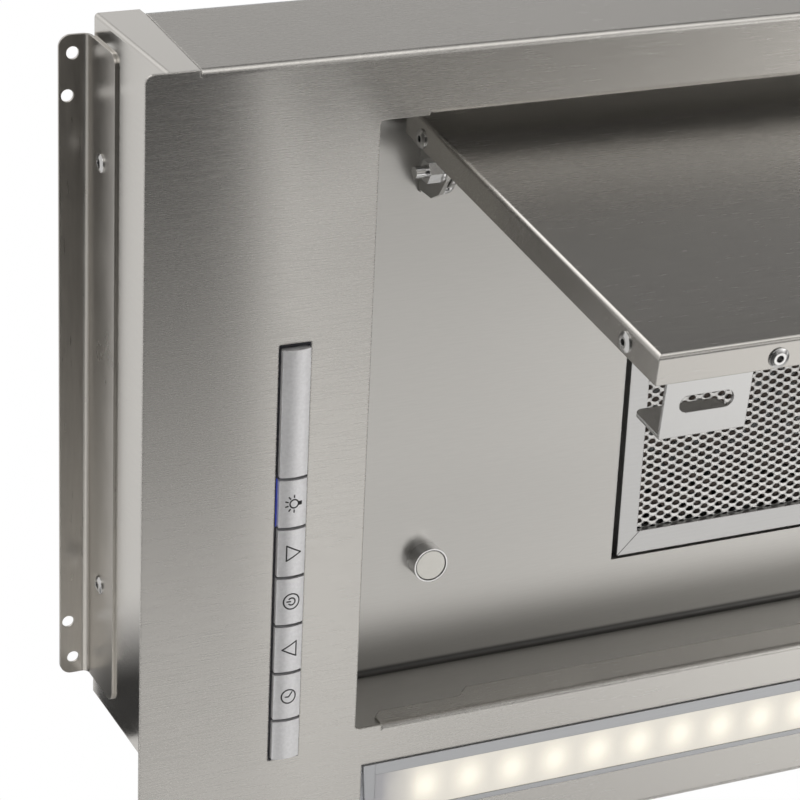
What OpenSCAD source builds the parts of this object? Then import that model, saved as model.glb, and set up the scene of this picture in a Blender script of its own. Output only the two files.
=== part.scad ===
// Undermount range hood with a perimeter suction panel, shown with the panel hanging open.
// +Z is up, +Y is towards the wall and +X is towards the user's right hand.
// The origin is the middle of the screw pattern in the two side brackets.

/* [Face plate] */
// Width of the face plate
plate_w = 860; // [820:1:900]
// Front-to-back length of the face plate
plate_l = 290; // [284:1:310]
// Corner radius of the face plate
plate_corner_r = 3; // [2:0.5:6]
// Thickness of the stainless sheet
sheet = 0.9; // [0.7:0.1:1.2]
// Outside radius of the bends in the stainless sheet
bend_r = 2.2; // [1.8:0.1:3]
// Height of the return along the front edge
front_lip_h = 18; // [10:1:30]

/* [Box] */
// Front-to-back length of the box above the face plate
box_l = 243; // [240:1:247]
// How far the face plate reaches past each side wall
side_overhang = 7; // [5:0.5:9]
// Height of the side walls above the underside of the face
side_h = 65; // [61.5:0.5:67]
// Height of the rear wall above the underside of the face
rear_h = 59.5; // [56:0.5:60.5]
// Width of the side wall's return across the rear and the front, at its foot
return_w = 10.5; // [9:0.1:14]
// Width of the same return at its top
return_top_w = 15; // [14:0.1:18]
// Outside radius of the bends at the ends of the side walls
return_bend_r = 1.4; // [1.3:0.1:2.2]
// Thickness of the galvanised sheet
zinc_sheet = 0.8; // [0.6:0.1:1]

/* [Brackets] */
// Height of the fixing plane above the underside of the face
mount_h = 69.5; // [68:0.5:74]
// Length of each side bracket
bracket_l = 228; // [220:1:236]
// Height of the bracket's leg below the fixing plane
bracket_leg_h = 26; // [22:0.5:34]
// How far the bracket's flange reaches past the side wall
bracket_reach = 10.6; // [10.5:0.1:14]
// Thickness of the bracket
bracket_t = 0.9; // [0.8:0.1:2]
// Outside radius of the bend along the brackets
bracket_bend_r = 3; // [2:0.1:3.5]
// Radius of the bracket's screw holes
bracket_hole_r = 2.1; // [2:0.1:2.6]
// Distance across the outer screw holes, side to side
outer_holes_x = 858; // [856:0.5:859]
// Distance along the outer screw holes, front to back
outer_holes_y = 216; // [210:1:218]
// Distance across the inner screw holes, side to side
inner_holes_x = 861.5; // [860:0.5:863]
// Distance along the inner screw holes, front to back
inner_holes_y = 188; // [180:1:196]
// Distance between the two rivets of a bracket
bracket_rivet_y = 150; // [120:1:160]
// Depth of the bracket's rivets below the fixing plane
bracket_rivet_z = 13.5; // [12:0.5:17]

/* [Recess] */
// Side margin of the face plate outside the recess
side_margin = 77; // [70:1:84]
// Rear margin of the face plate behind the recess
rear_margin = 21.5; // [18:0.5:24]
// Front-to-back length of the recess
recess_l = 215; // [212:1:218]
// Depth of the recess
recess_d = 35; // [34:0.5:38]
// Radius of the bends inside the recess
recess_bend_r = 2; // [1.5:0.1:3]
// Height of the lips bent up round the recess
lip_h = 14; // [11:0.5:20]
// Height of the front lip near its ends
lip_end_h = 9; // [6:0.5:10]
// Length of the front lip's lower ends
lip_end_l = 33; // [20:1:50]
// Distance from the recess corner to the start of the front lip
front_lip_start = 10; // [8:0.5:20]
// Distance from the recess corner to the start of the rear lip
rear_lip_start = 17; // [8:0.5:20]

/* [Perimeter panel] */
// Gap between the panel and each side of the recess
panel_side_gap = 23; // [18:0.5:30]
// Length of the panel in front of its pivot
panel_front = 157; // [150:1:164]
// Length of the panel behind its pivot
panel_rear = 12; // [8:0.5:14]
// Height of the flanges round the panel
panel_flange_h = 9.5; // [8:0.5:11]
// How deep the closed panel sits inside the face
panel_inset = 1.2; // [0.5:0.1:2]
// Angle at which the panel hangs open
open_angle = 83.3; // [60:0.1:90]
// Width of the slot between the tray flange and the liner flange
laminate_gap = 1.6; // [1.6:0.1:2]
// Length of the tab folded behind each front corner
corner_tab_l = 26; // [22:1:30]
// Thickness of the liner sheet
liner_t = 0.8; // [0.6:0.1:1]

/* [Hinge] */
// Distance from the rear edge of the face plate to the pivot
pivot_from_rear = 47.3; // [45:0.1:50]
// Height of the pivot above the underside of the face
pivot_h = 19.2; // [18:0.1:21]
// Radius of the pivot bolt
pivot_r = 2; // [1.5:0.1:2.5]
// Running clearance round the pivot bolt
pivot_clearance = 0.05; // [0.03:0.01:0.1]
// Thickness of the hinge plates
hinge_t = 1.5; // [1.2:0.1:1.6]
// Distance from the panel's side to the fixed ear
ear_inset = 8; // [7:0.5:12]
// Side gap between moving hinge plates
hinge_gap = 0.3; // [0.2:0.1:0.5]

/* [Catch] */
// Distance from the panel's side to the catch centre
catch_inset = 17; // [16:0.5:22]
// Radius of the magnet holder
magnet_r = 6.3; // [5:0.1:7]
// Gap between the magnet and the closed striker
catch_gap = 0.3; // [0.2:0.1:0.6]
// Width of the striker
striker_w = 28; // [24:1:32]
// Depth of the striker measured from the panel's face
striker_h = 28; // [26:0.5:28.5]
// Length of the striker's return leg
striker_leg = 15.5; // [13:0.5:20]
// Thickness of the striker
striker_t = 1; // [0.8:0.1:1.2]

/* [Filters] */
// Width of one grease filter
filter_w = 234.3; // [220:0.1:245]
// Front-to-back length of one grease filter
filter_l = 160; // [150:1:164]
// Thickness of a grease filter
filter_t = 9; // [8:0.5:10]
// Width of the filter frame's bars
filter_bar = 7.5; // [7:0.5:10]
// Gap round each filter
filter_gap = 2.2; // [1:0.1:2.5]
// Distance from the rear edge of the face plate to the front of the filters
filter_front = 207.6; // [200:0.2:212]
// Distance between the gaps of the filter mesh
mesh_pitch = 14; // [12:0.5:18]
// Travel of the filter latch
latch_travel = 5; // [4:0.5:6]

/* [Light] */
// Distance from the rear edge of the face plate to the light bar
light_from_rear = 251.1; // [250:0.1:256]
// Front-to-back width of the light bar
light_w = 22.3; // [20:0.1:24]
// Distance from each side of the face plate to the light bar
light_margin = 80.5; // [70:0.5:100]
// Height of the light bar's profile
light_h = 11.6; // [10:0.1:16]
// Width of the profile's rear rim
light_rear_rim = 4.3; // [3:0.1:5]
// Width of the profile's front rim
light_front_rim = 1.9; // [1.4:0.1:3]
// How far the light bar stands below the face
light_proud = 0.6; // [0.3:0.1:1]
// Length of each end cap of the light bar
light_cap_l = 4.5; // [3:0.5:8]
// Distance between the light-emitting diodes
diode_pitch = 16.667; // [10:0.001:20]
// Number of light-emitting diodes
diode_count = 39; // [12:3:39]
// Position of the first diode, from the side of the face plate
diode_start = 104.4; // [100:0.1:120]

/* [Controls] */
// Distance from the side of the face plate to the middle of the control strip
strip_from_side = 50.8; // [44:0.1:56]
// Distance from the rear edge of the face plate to the control strip
strip_from_rear = 93; // [80:0.5:93.5]
// Length of the control strip
strip_l = 148.3; // [146:0.1:149]
// Width of the caps on the control strip
cap_w = 9.5; // [9:0.1:12]
// Distance from one button to the next
button_pitch = 17.6; // [16:0.1:18]
// Length of the bare badge plate
badge_l = 45; // [42:0.5:50]
// Gap between neighbouring caps
cap_gap = 1.1; // [0.6:0.1:1.3]
// Rise of the caps' crown above their edges
cap_crown = 0.9; // [0.5:0.1:1.2]
// How far the caps' edges stand below the face
cap_proud = 1.8; // [1.4:0.1:2.2]
// Travel of a button
button_travel = 1; // [0.6:0.1:1.2]
// Width of the black rim round the caps
rim_w = 0.6; // [0.4:0.1:1]

/* [Blower housing] */
// Width of the blower housing
housing_w = 330; // [320:1:350]
// Front-to-back length of the blower housing
housing_l = 230; // [228:1:236]
// Height of the blower housing above the box
housing_h = 190; // [188:1:230]
// Width of the foot flange of the blower housing
housing_foot = 12; // [10:0.5:20]

/* [Fan] */
// Radius of the impeller
wheel_r = 60; // [54:1:62]
// Width of the scroll
scroll_w = 120; // [110:1:130]
// Clearance between the impeller and the tongue of the scroll
tongue_gap = 6; // [5:0.5:8]
// Growth of the scroll's radius from tongue to outlet
scroll_growth = 20; // [16:0.5:22]
// Radius of the inlets in the scroll's sides
inlet_r = 46; // [44:0.5:50]
// Number of blades on each half of the impeller
blade_count = 36; // [24:1:40]
// Radius of the motor
motor_r = 36; // [30:0.5:38]
// Radius of the motor shaft
shaft_r = 4; // [3:0.1:5]

/* [Duct spigot] */
// Outside radius of the duct spigot
spigot_r = 75; // [74:0.5:76]
// Height of the duct spigot
spigot_h = 48; // [40:1:70]
// Wall thickness of the duct spigot
spigot_t = 2; // [1.5:0.1:3]
// Thickness of the back-draught flaps
flap_t = 1.2; // [1:0.1:2]
// Radius of the flap pins
flap_pin_r = 1.5; // [1:0.1:2]
// Angle to which a flap opens
flap_open = 75; // [60:1:80]

/* [Electrics] */
// Width of the control box
control_box_w = 150; // [130:1:170]
// Front-to-back length of the control box
control_box_l = 110; // [90:1:120]
// Height of the control box
control_box_h = 42; // [38:1:60]
// Wall thickness of the plastic boxes
plastic_t = 2; // [1.6:0.1:3]
// Radius of the hole through the cable gland
gland_bore_r = 4; // [3:0.1:5]

/* [Rivets and screws] */
// Radius of a rivet head
rivet_head_r = 3.2; // [2.8:0.1:3.6]
// Height of a rivet head
rivet_head_h = 1; // [0.7:0.1:1.3]
// Radius of a rivet shank
rivet_r = 1.6; // [1.4:0.1:1.7]
// Clearance round rivets and screws
hole_clearance = 0.05; // [0.03:0.01:0.1]
// Radius of a screw head
screw_head_r = 2.7; // [2.4:0.1:3]
// Radius of a screw shank
screw_r = 1.4; // [1.2:0.1:1.5]

/* [Hidden] */
$fn = 48;

box_w = plate_w - 2 * side_overhang;
rear_y = box_l / 2;
front_y = -box_l / 2;
plate_front_y = rear_y - plate_l;
face_z = -mount_h;
plate_top_z = face_z + sheet;
box_top_z = face_z + rear_h;
seam_foot_x = box_w / 2 - return_w;
seam_top_x = box_w / 2 - return_top_w;
seam_gap = 0.3;
rear_wall_half = seam_foot_x - seam_gap;
recess_half_w = plate_w / 2 - side_margin;
recess_rear_y = rear_y - rear_margin;
recess_front_y = recess_rear_y - recess_l;
floor_z = face_z + recess_d;
cover_top_z = box_top_z + zinc_sheet;
pivot_y = rear_y - pivot_from_rear;
pivot_z = face_z + pivot_h;
panel_half_w = recess_half_w - panel_side_gap;
skin_z = panel_inset - pivot_h;
ear_x = panel_half_w - ear_inset;
arm_x = panel_half_w - sheet;
catch_x = panel_half_w - catch_inset;
catch_y = pivot_y - panel_front + sheet + striker_leg / 2;
magnet_face_z = face_z + panel_inset + striker_h + catch_gap;
filter_front_y = rear_y - filter_front;
filter_mid_x = filter_w / 2 + filter_gap;
filter_hole_half_w = filter_w + 2 * filter_gap;
light_rear_y = rear_y - light_from_rear;
light_half_w = plate_w / 2 - light_margin;
profile_half_w = light_half_w - light_cap_l;
light_bottom_z = face_z - light_proud;
strip_x = plate_w / 2 - strip_from_side;
strip_rear_y = rear_y - strip_from_rear;
buttons_rear_y = strip_rear_y - badge_l;
blank_rear_y = buttons_rear_y - 5 * button_pitch;
blank_l = strip_l - badge_l - 5 * button_pitch;
bezel_depth = 10;
bezel_wall = 1.6;
bezel_front_y = front_y + sheet + 1;
board_z = plate_top_z + bezel_depth;
housing_top_z = cover_top_z + housing_h;
roof_z = housing_top_z - zinc_sheet;
outlet_half = 50;
tongue_r = wheel_r + tongue_gap;
outlet_r = tongue_r + scroll_growth;
fan_y = outlet_half - outlet_r;
fan_z = roof_z - 26 - tongue_r;
spider_x = -scroll_w / 2 - 2;
flap_r = spigot_r - spigot_t - 0.8;
flap_z = housing_top_z + 12;
flap_pin_y = 4;
ledge_r = spigot_r - spigot_t - 4;
control_box_x = 190;
gland_z = cover_top_z + 20;

module block(low, high) {
    translate(low) cube(high - low);
}

module both_sides() {
    children();
    mirror([1, 0, 0]) children();
}

module along_x(x_low, x_high) {
    translate([x_low, 0, 0]) rotate([90, 0, 90]) linear_extrude(x_high - x_low) children();
}

module rod_x(x_low, x_high, y, z, r) {
    translate([x_low, y, z]) rotate([0, 90, 0]) cylinder(h = x_high - x_low, r = r);
}

module rod_y(y_low, y_high, x, z, r) {
    translate([x, y_high, z]) rotate([90, 0, 0]) cylinder(h = y_high - y_low, r = r);
}

module rounded_rect(size, r) {
    square([size[0] - 2 * r, size[1]], center = true);
    square([size[0], size[1] - 2 * r], center = true);
    for (x = [-1, 1], y = [-1, 1]) {
        translate([x * (size[0] / 2 - r), y * (size[1] / 2 - r)]) circle(r);
    }
}

// A slot of the given length and width, lying along x.
module slot_2d(length, width) {
    square([length - width, width], center = true);
    for (x = [-1, 1]) translate([x * (length - width) / 2, 0]) circle(width / 2);
}

// A bent sheet with its outer corner at the origin, one leg along +x and one along +y.
module angle_2d(leg_x, leg_y, t, r) {
    translate([r, 0]) square([leg_x - r, t]);
    translate([0, r]) square([t, leg_y - r]);
    intersection() {
        square(r);
        translate([r, r]) difference() {
            circle(r);
            circle(r - t);
        }
    }
}

// A domed head standing on z = 0 with its shank going down.
module rivet(grip) {
    difference() {
        union() {
            intersection() {
                cylinder(h = rivet_head_h, r = rivet_head_r);
                translate([0, 0, -5.1]) sphere(r = 6.4);
            }
            translate([0, 0, -grip]) cylinder(h = grip, r = rivet_r);
        }
        translate([0, 0, -grip + 1]) cylinder(h = grip + rivet_head_h, r = 0.7 * rivet_r);
    }
}

module cross_screw(grip) {
    difference() {
        union() {
            intersection() {
                cylinder(h = 2, r = screw_head_r);
                translate([0, 0, -2.2]) sphere(r = 4.2);
            }
            translate([0, 0, -grip]) cylinder(h = grip, r = screw_r);
        }
        for (a = [0, 90]) rotate([0, 0, a]) translate([0, 0, 2]) cube([3, 0.7, 2.4], center = true);
    }
}

// Clears the flat sheet where a bend starts, a little past both ends of the bend.
module bend_relief(half_w, low_y, high_y) {
    translate([-half_w - 0.2, low_y]) square([2 * half_w + 0.4, high_y - low_y]);
}

// Everything outside the slanted seam where a wall meets the side wall's return.
module beyond_seam(shift) {
    far_x = box_w / 2 + 5;
    translate([0, box_l, 0]) rotate([90, 0, 0]) linear_extrude(2 * box_l) polygon([
        [seam_foot_x + shift, face_z - 1], [far_x, face_z - 1], [far_x, 1],
        [seam_top_x + shift, 1], [seam_top_x + shift, box_top_z]
    ]);
}

module face_plate() {
    opening_mid_y = (recess_rear_y + recess_front_y) / 2;
    front_half = recess_half_w - front_lip_start;
    rear_half = recess_half_w - rear_lip_start;
    front_bend_half = plate_w / 2 - 6;
    overlap = bend_r + 1;
    lip_chamfer = 2.9;
    lip_step = lip_h - lip_end_h;
    step_half = front_half - lip_end_l;
    color("silver") {
        translate([0, 0, face_z]) linear_extrude(sheet) difference() {
            translate([0, rear_y - plate_l / 2]) rounded_rect([plate_w, plate_l], plate_corner_r);
            translate([0, opening_mid_y]) rounded_rect([2 * recess_half_w, recess_l], 1.5);
            bend_relief(rear_half, recess_rear_y - 1, recess_rear_y + bend_r);
            bend_relief(front_half, recess_front_y - bend_r, recess_front_y + 1);
            bend_relief(rear_wall_half, rear_y - bend_r, rear_y + 1);
            bend_relief(front_bend_half, plate_front_y - 1, plate_front_y + bend_r);
            translate([0, light_rear_y - light_w / 2])
                square([2 * light_half_w + 1, light_w + 0.6], center = true);
            translate([strip_x, strip_rear_y - strip_l / 2])
                square([cap_w + 2 * rim_w + 0.2, strip_l + 2 * rim_w + 0.2], center = true);
        }
        difference() {
            along_x(-rear_wall_half, rear_wall_half)
                translate([rear_y, face_z]) mirror([1, 0]) angle_2d(overlap, rear_h, sheet, bend_r);
            both_sides() beyond_seam(-seam_gap);
        }
        along_x(-front_bend_half, front_bend_half)
            translate([plate_front_y, face_z]) angle_2d(overlap, front_lip_h, sheet, bend_r);
        along_x(-rear_half, rear_half)
            translate([recess_rear_y, face_z]) angle_2d(overlap, lip_h, sheet, bend_r);
        along_x(-front_half, front_half)
            translate([recess_front_y, face_z]) mirror([1, 0]) angle_2d(overlap, bend_r + 1, sheet, bend_r);
        translate([0, recess_front_y, face_z]) rotate([90, 0, 0]) linear_extrude(sheet) polygon([
            [-front_half, bend_r], [front_half, bend_r], [front_half, lip_end_h - lip_chamfer],
            [front_half - lip_chamfer, lip_end_h], [step_half, lip_end_h], [step_half - lip_step, lip_h],
            [-step_half + lip_step, lip_h], [-step_half, lip_end_h], [-front_half + lip_chamfer, lip_end_h],
            [-front_half, lip_end_h - lip_chamfer]
        ]);
    }
}

module end_cap_solid() {
    half_l = box_l / 2 + 1;
    difference() {
        intersection() {
            translate([0, 0, plate_top_z]) linear_extrude(side_h - sheet) {
                translate([box_w / 2, rear_y]) rotate(180)
                    angle_2d(return_top_w, half_l, sheet, return_bend_r);
                translate([box_w / 2, front_y]) mirror([1, 0])
                    angle_2d(return_top_w, half_l, sheet, return_bend_r);
            }
            beyond_seam(0);
        }
        for (y = [-1, 1]) bracket_rivet_hole(y);
    }
}

module bracket_rivet_hole(y) {
    rod_x(box_w / 2 - 5, box_w / 2 + 5, y * bracket_rivet_y / 2, -bracket_rivet_z, rivet_r + hole_clearance);
}

module end_cap_right() {
    color("silver") end_cap_solid();
}

module end_cap_left() {
    color("silver") mirror([1, 0, 0]) end_cap_solid();
}

module front_wall() {
    wall_half = rear_wall_half;
    color("silver") difference() {
        along_x(-wall_half, wall_half)
            translate([front_y + sheet, plate_top_z]) mirror([1, 0])
                angle_2d(6, rear_h - sheet, sheet, bend_r);
        rod_y(front_y - 1, front_y + 2, -light_half_w + 20, plate_top_z + 8, 5);
        both_sides() beyond_seam(-seam_gap);
    }
}

module hinge_screw_places() {
    for (y = [pivot_y - 11, pivot_y + 5]) {
        translate([ear_x - 9.2, y, floor_z]) children();
    }
}

// The hollow side of a bend between the recess floor and a wall, drawn from their corner.
module recess_fillet_2d() {
    r = recess_bend_r;
    translate([-0.1, 0]) difference() {
        translate([0, -r]) square([r + 0.1, r + 0.1]);
        translate([r + 0.1, -r]) circle(r);
    }
}

// The tray behind the opening, with an upstand round the filters and a ledge that they bear up against.
module recess_pan() {
    t = zinc_sheet;
    rear = recess_rear_y + sheet;
    front = recess_front_y - sheet;
    half_w = recess_half_w;
    hole_half = filter_hole_half_w;
    hole_front = filter_front_y - filter_gap / 2;
    hole_rear = filter_front_y + filter_l + filter_gap / 2;
    ledge_z = floor_z + filter_t + 0.3;
    ledge = 5;
    color("gainsboro") difference() {
        union() {
            difference() {
                block([-half_w - t, front - t, plate_top_z], [half_w + t, rear + t, floor_z + t]);
                block([-half_w, front, plate_top_z - 1], [half_w, rear, floor_z]);
                block([-half_w + front_lip_start - 1.2, front - t - 1, plate_top_z - 1],
                      [half_w - front_lip_start + 1.2, front + 0.1, face_z + bend_r]);
                block([-half_w + rear_lip_start - 1.2, rear - 0.1, plate_top_z - 1],
                      [half_w - rear_lip_start + 1.2, rear + t + 1, face_z + bend_r]);
            }
            along_x(-half_w - t / 2, half_w + t / 2) {
                translate([front, floor_z]) recess_fillet_2d();
                translate([rear, floor_z]) mirror([1, 0]) recess_fillet_2d();
            }
            block([-hole_half - t, hole_front - t, floor_z], [hole_half + t, hole_rear + t, ledge_z + t]);
        }
        block([-hole_half, hole_front, floor_z - 1], [hole_half, hole_rear, ledge_z]);
        block([-hole_half + ledge, hole_front + ledge, floor_z],
              [hole_half - ledge, hole_rear - ledge, ledge_z + 5]);
        for (x = [-1, 1]) {
            translate([x * filter_mid_x - 8, hole_front - t - 1, floor_z + t]) cube([16, t + 2, 3]);
        }
        both_sides() {
            hinge_screw_places() translate([0, 0, -1]) cylinder(h = 5, r = screw_r + hole_clearance);
            translate([catch_x, catch_y, floor_z - 1]) cylinder(h = 5, r = 2 + hole_clearance);
        }
    }
}

module housing_screw_places() {
    for (x = [-1, 1], y = [-1, 0, 1]) {
        translate([x * (housing_w / 2 + housing_foot / 2), y * (housing_l / 2 - 20), cover_top_z]) children();
    }
}

module top_cover() {
    color("lightgray") difference() {
        union() {
            block([-seam_top_x + seam_gap, front_y, box_top_z], [seam_top_x - seam_gap, rear_y, cover_top_z]);
            block([-box_w / 2 + sheet + 0.2, front_y + bend_r + 0.2, box_top_z],
                  [box_w / 2 - sheet - 0.2, rear_y - bend_r - 0.2, cover_top_z]);
        }
        block([-120, -92, box_top_z - 1], [120, 92, cover_top_z + 1]);
        housing_screw_places() translate([0, 0, -5]) cylinder(h = 10, r = screw_r + hole_clearance);
        translate([strip_x, strip_rear_y - 20, box_top_z - 1]) cylinder(h = 5, r = 5);
        translate([-light_half_w + 20, front_y + 12, box_top_z - 1]) cylinder(h = 5, r = 5);
    }
}

module bracket_solid() {
    wall_x = box_w / 2;
    half_l = bracket_l / 2;
    bend_end = bracket_bend_r + 1;
    corner_r = 4;
    difference() {
        union() {
            rotate([90, 0, 0]) translate([wall_x, 0, -half_l]) linear_extrude(bracket_l)
                mirror([0, 1]) angle_2d(bend_end, bend_end, bracket_t, bracket_bend_r);
            along_x(wall_x, wall_x + bracket_t) intersection() {
                rounded_rect([bracket_l, 2 * bracket_leg_h], corner_r);
                translate([-half_l, -bracket_leg_h]) square([bracket_l, bracket_leg_h - bracket_bend_r]);
            }
            translate([wall_x, 0, -bracket_t]) linear_extrude(bracket_t) intersection() {
                rounded_rect([2 * bracket_reach, bracket_l], corner_r);
                translate([bracket_bend_r, -half_l]) square([bracket_reach, bracket_l]);
            }
        }
        for (y = [-1, 1]) {
            translate([outer_holes_x / 2, y * outer_holes_y / 2, -3]) cylinder(h = 5, r = bracket_hole_r);
            translate([inner_holes_x / 2, y * inner_holes_y / 2, -3]) cylinder(h = 5, r = bracket_hole_r);
            bracket_rivet_hole(y);
        }
    }
}

module bracket_right() {
    color("darkgray") bracket_solid();
}

module bracket_left() {
    color("darkgray") mirror([1, 0, 0]) bracket_solid();
}

module bracket_rivets() {
    color("whitesmoke") both_sides() {
        for (y = [-1, 1]) {
            translate([box_w / 2 + bracket_t, y * bracket_rivet_y / 2, -bracket_rivet_z])
                rotate([0, 90, 0]) rivet(4);
        }
    }
}

// Moves children from the panel's own frame, drawn closed with the pivot at the origin, to where it hangs.
module hung_panel() {
    translate([0, pivot_y, pivot_z]) rotate([open_angle, 0, 0]) children();
}

// A tray-shaped solid with rounded lower edges.
module soft_edged_block(half_w, low_y, high_y, low_z, high_z, r) {
    mid_y = (low_y + high_y) / 2;
    length = high_y - low_y;
    height = high_z - low_z;
    intersection() {
        along_x(-half_w, half_w) translate([mid_y, low_z + height]) intersection() {
            rounded_rect([length, 2 * height], r);
            translate([-length / 2, -height]) square([length, height]);
        }
        translate([0, high_y, 0]) rotate([90, 0, 0]) linear_extrude(length)
            translate([0, low_z + height]) intersection() {
                rounded_rect([2 * half_w, 2 * height], r);
                translate([-half_w, -height]) square([2 * half_w, height]);
            }
    }
}

side_rivets = [[0, 6.15], [-138.2, 5.5]];
front_rivet_x = [39.3, 233];
front_rivet_h = 6.05;

module side_rivet_places() {
    for (p = side_rivets) {
        translate([panel_half_w, p[0], skin_z + p[1]]) rotate([0, 90, 0]) children();
    }
}

module front_rivet_places() {
    for (x = front_rivet_x) {
        translate([panel_half_w - x, -panel_front, skin_z + front_rivet_h]) rotate([90, 0, 0]) children();
    }
}

module panel_rivet_holes() {
    both_sides() {
        side_rivet_places() translate([0, 0, -6]) cylinder(h = 8, r = rivet_r + hole_clearance);
        front_rivet_places() translate([0, 0, -6]) cylinder(h = 8, r = rivet_r + hole_clearance);
    }
}

module panel_tray() {
    flange_z = skin_z + panel_flange_h;
    color("dimgray") hung_panel() difference() {
        union() {
            difference() {
                soft_edged_block(panel_half_w, -panel_front, panel_rear, skin_z, flange_z, 1.6);
                soft_edged_block(panel_half_w - sheet, -panel_front + sheet, panel_rear - sheet,
                                 skin_z + sheet, flange_z + 1, 0.7);
            }
            both_sides() {
                block([panel_half_w - 1.6 * sheet, -panel_front + sheet / 2, skin_z + 2],
                      [panel_half_w - sheet / 2, -panel_front + corner_tab_l, flange_z - 0.9]);
            }
        }
        panel_rivet_holes();
    }
}

module panel_liner() {
    inset = sheet + laminate_gap;
    flat_z = skin_z + panel_flange_h - 1.5;
    color("gray") hung_panel() difference() {
        block([-panel_half_w + inset, -panel_front + inset, skin_z + sheet],
              [panel_half_w - inset, panel_rear - inset, flat_z + liner_t]);
        block([-panel_half_w + inset + liner_t, -panel_front + inset + liner_t, skin_z],
              [panel_half_w - inset - liner_t, panel_rear - inset - liner_t, flat_z]);
        panel_rivet_holes();
    }
}

module panel_rivets() {
    color("whitesmoke") hung_panel() both_sides() {
        side_rivet_places() rivet(4.5);
        front_rivet_places() rivet(4.5);
    }
}

// A strip inside the tray's side flange, with a shelf that carries a lug to the pivot.
module hinge_arm_solid() {
    arm_top_z = skin_z + panel_flange_h - 1.5 + liner_t + hinge_t;
    lug_x = ear_x - hinge_t - hinge_gap;
    lug_r = 6;
    difference() {
        union() {
            block([arm_x - hinge_t, -39, skin_z + sheet + 0.8], [arm_x, 9, arm_top_z]);
            block([lug_x - hinge_t, -lug_r, arm_top_z - hinge_t], [arm_x, 9, arm_top_z]);
            along_x(lug_x - hinge_t, lug_x) {
                circle(lug_r);
                translate([-lug_r, arm_top_z - hinge_t]) square([2 * lug_r, -arm_top_z + hinge_t]);
            }
        }
        rod_x(lug_x - 5, lug_x + 5, 0, 0, pivot_r + pivot_clearance);
        side_rivet_places() translate([0, 0, -6]) cylinder(h = 8, r = rivet_r + hole_clearance);
    }
}

module hinge_arm_right() {
    color("slategray") hung_panel() hinge_arm_solid();
}

module hinge_arm_left() {
    color("slategray") hung_panel() mirror([1, 0, 0]) hinge_arm_solid();
}

module striker_solid() {
    plate_y = -panel_front + sheet;
    mid_x = catch_x - 1.3;
    low_x = mid_x - striker_w / 2;
    high_x = mid_x + striker_w / 2;
    leg_z = skin_z + striker_h;
    difference() {
        union() {
            block([low_x, plate_y, skin_z + 2], [high_x, plate_y + striker_t, leg_z]);
            translate([mid_x, plate_y, leg_z - striker_t]) linear_extrude(striker_t) intersection() {
                rounded_rect([striker_w, 2 * striker_leg], 3);
                translate([-striker_w / 2, 0]) square([striker_w, striker_leg]);
            }
        }
        translate([mid_x, plate_y + 5, skin_z + 17.6]) rotate([90, 0, 0])
            linear_extrude(10) slot_2d(17.6, 5.5);
    }
}

module striker_right() {
    color("gainsboro") hung_panel() striker_solid();
}

module striker_left() {
    color("gainsboro") hung_panel() mirror([1, 0, 0]) striker_solid();
}

// A foot on the recess floor with an upright ear that holds the pivot bolt.
module hinge_bracket_solid() {
    tip_y = pivot_y - 11.9;
    ear_r = 4.8;
    difference() {
        union() {
            block([ear_x - 18, pivot_y - 12.6, floor_z - hinge_t], [ear_x, pivot_y + 10, floor_z]);
            along_x(ear_x - hinge_t, ear_x) {
                translate([pivot_y, pivot_z]) circle(ear_r);
                translate([tip_y + 2.5, pivot_z + 6.9]) circle(2.5);
                polygon([
                    [pivot_y + ear_r, pivot_z], [pivot_y + ear_r, floor_z], [tip_y, floor_z],
                    [tip_y, pivot_z + 6.9], [tip_y + 0.7, pivot_z + 5.2], [pivot_y - 8.7, pivot_z + 0.5],
                    [pivot_y - 2.4, pivot_z - 4.1]
                ]);
            }
        }
        rod_x(ear_x - 5, ear_x + 5, pivot_y, pivot_z, pivot_r + pivot_clearance);
        hinge_screw_places() translate([0, 0, -5]) cylinder(h = 8, r = screw_r + hole_clearance);
    }
}

module hinge_bracket_right() {
    color("slategray") hinge_bracket_solid();
}

module hinge_bracket_left() {
    color("slategray") mirror([1, 0, 0]) hinge_bracket_solid();
}

module hinge_bolts() {
    head_x = ear_x - 2 * hinge_t - 2 * hinge_gap;
    color("lightsteelblue") both_sides() {
        rod_x(head_x - 0.5, ear_x + 9.5, pivot_y, pivot_z, pivot_r);
        rod_x(head_x - 3.2, head_x, pivot_y, pivot_z, 3.8);
    }
}

module hinge_nuts() {
    color("lightsteelblue") both_sides() difference() {
        union() {
            translate([ear_x, pivot_y, pivot_z]) rotate([0, 90, 0]) cylinder(h = 5.6, r = 4.1, $fn = 6);
            rod_x(ear_x, ear_x + 1, pivot_y, pivot_z, 4.3);
        }
        rod_x(ear_x - 1, ear_x + 8, pivot_y, pivot_z, pivot_r + hole_clearance);
    }
}

module hinge_screws() {
    color("whitesmoke") both_sides() {
        hinge_screw_places() translate([0, 0, -hinge_t]) mirror([0, 0, 1]) cross_screw(4);
    }
}

module magnet_holders() {
    color("lightsteelblue") both_sides() translate([catch_x, catch_y, 0]) difference() {
        union() {
            translate([0, 0, magnet_face_z]) cylinder(h = floor_z - magnet_face_z, r = magnet_r);
            translate([0, 0, floor_z]) cylinder(h = 3, r = 2);
        }
        translate([0, 0, magnet_face_z - 1]) cylinder(h = 5, r = magnet_r - 0.6);
    }
}

module magnets() {
    color("whitesmoke") both_sides() {
        translate([catch_x, catch_y, magnet_face_z + 0.2]) cylinder(h = 3.8, r = magnet_r - 0.9);
    }
}

module at_filter(side) {
    translate([side * filter_mid_x, filter_front_y, floor_z]) children();
}

latch_half_w = 12;
latch_l = 9;
latch_pad_half_w = latch_half_w + 5;
latch_pad_l = latch_l + latch_travel + 6;

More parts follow.
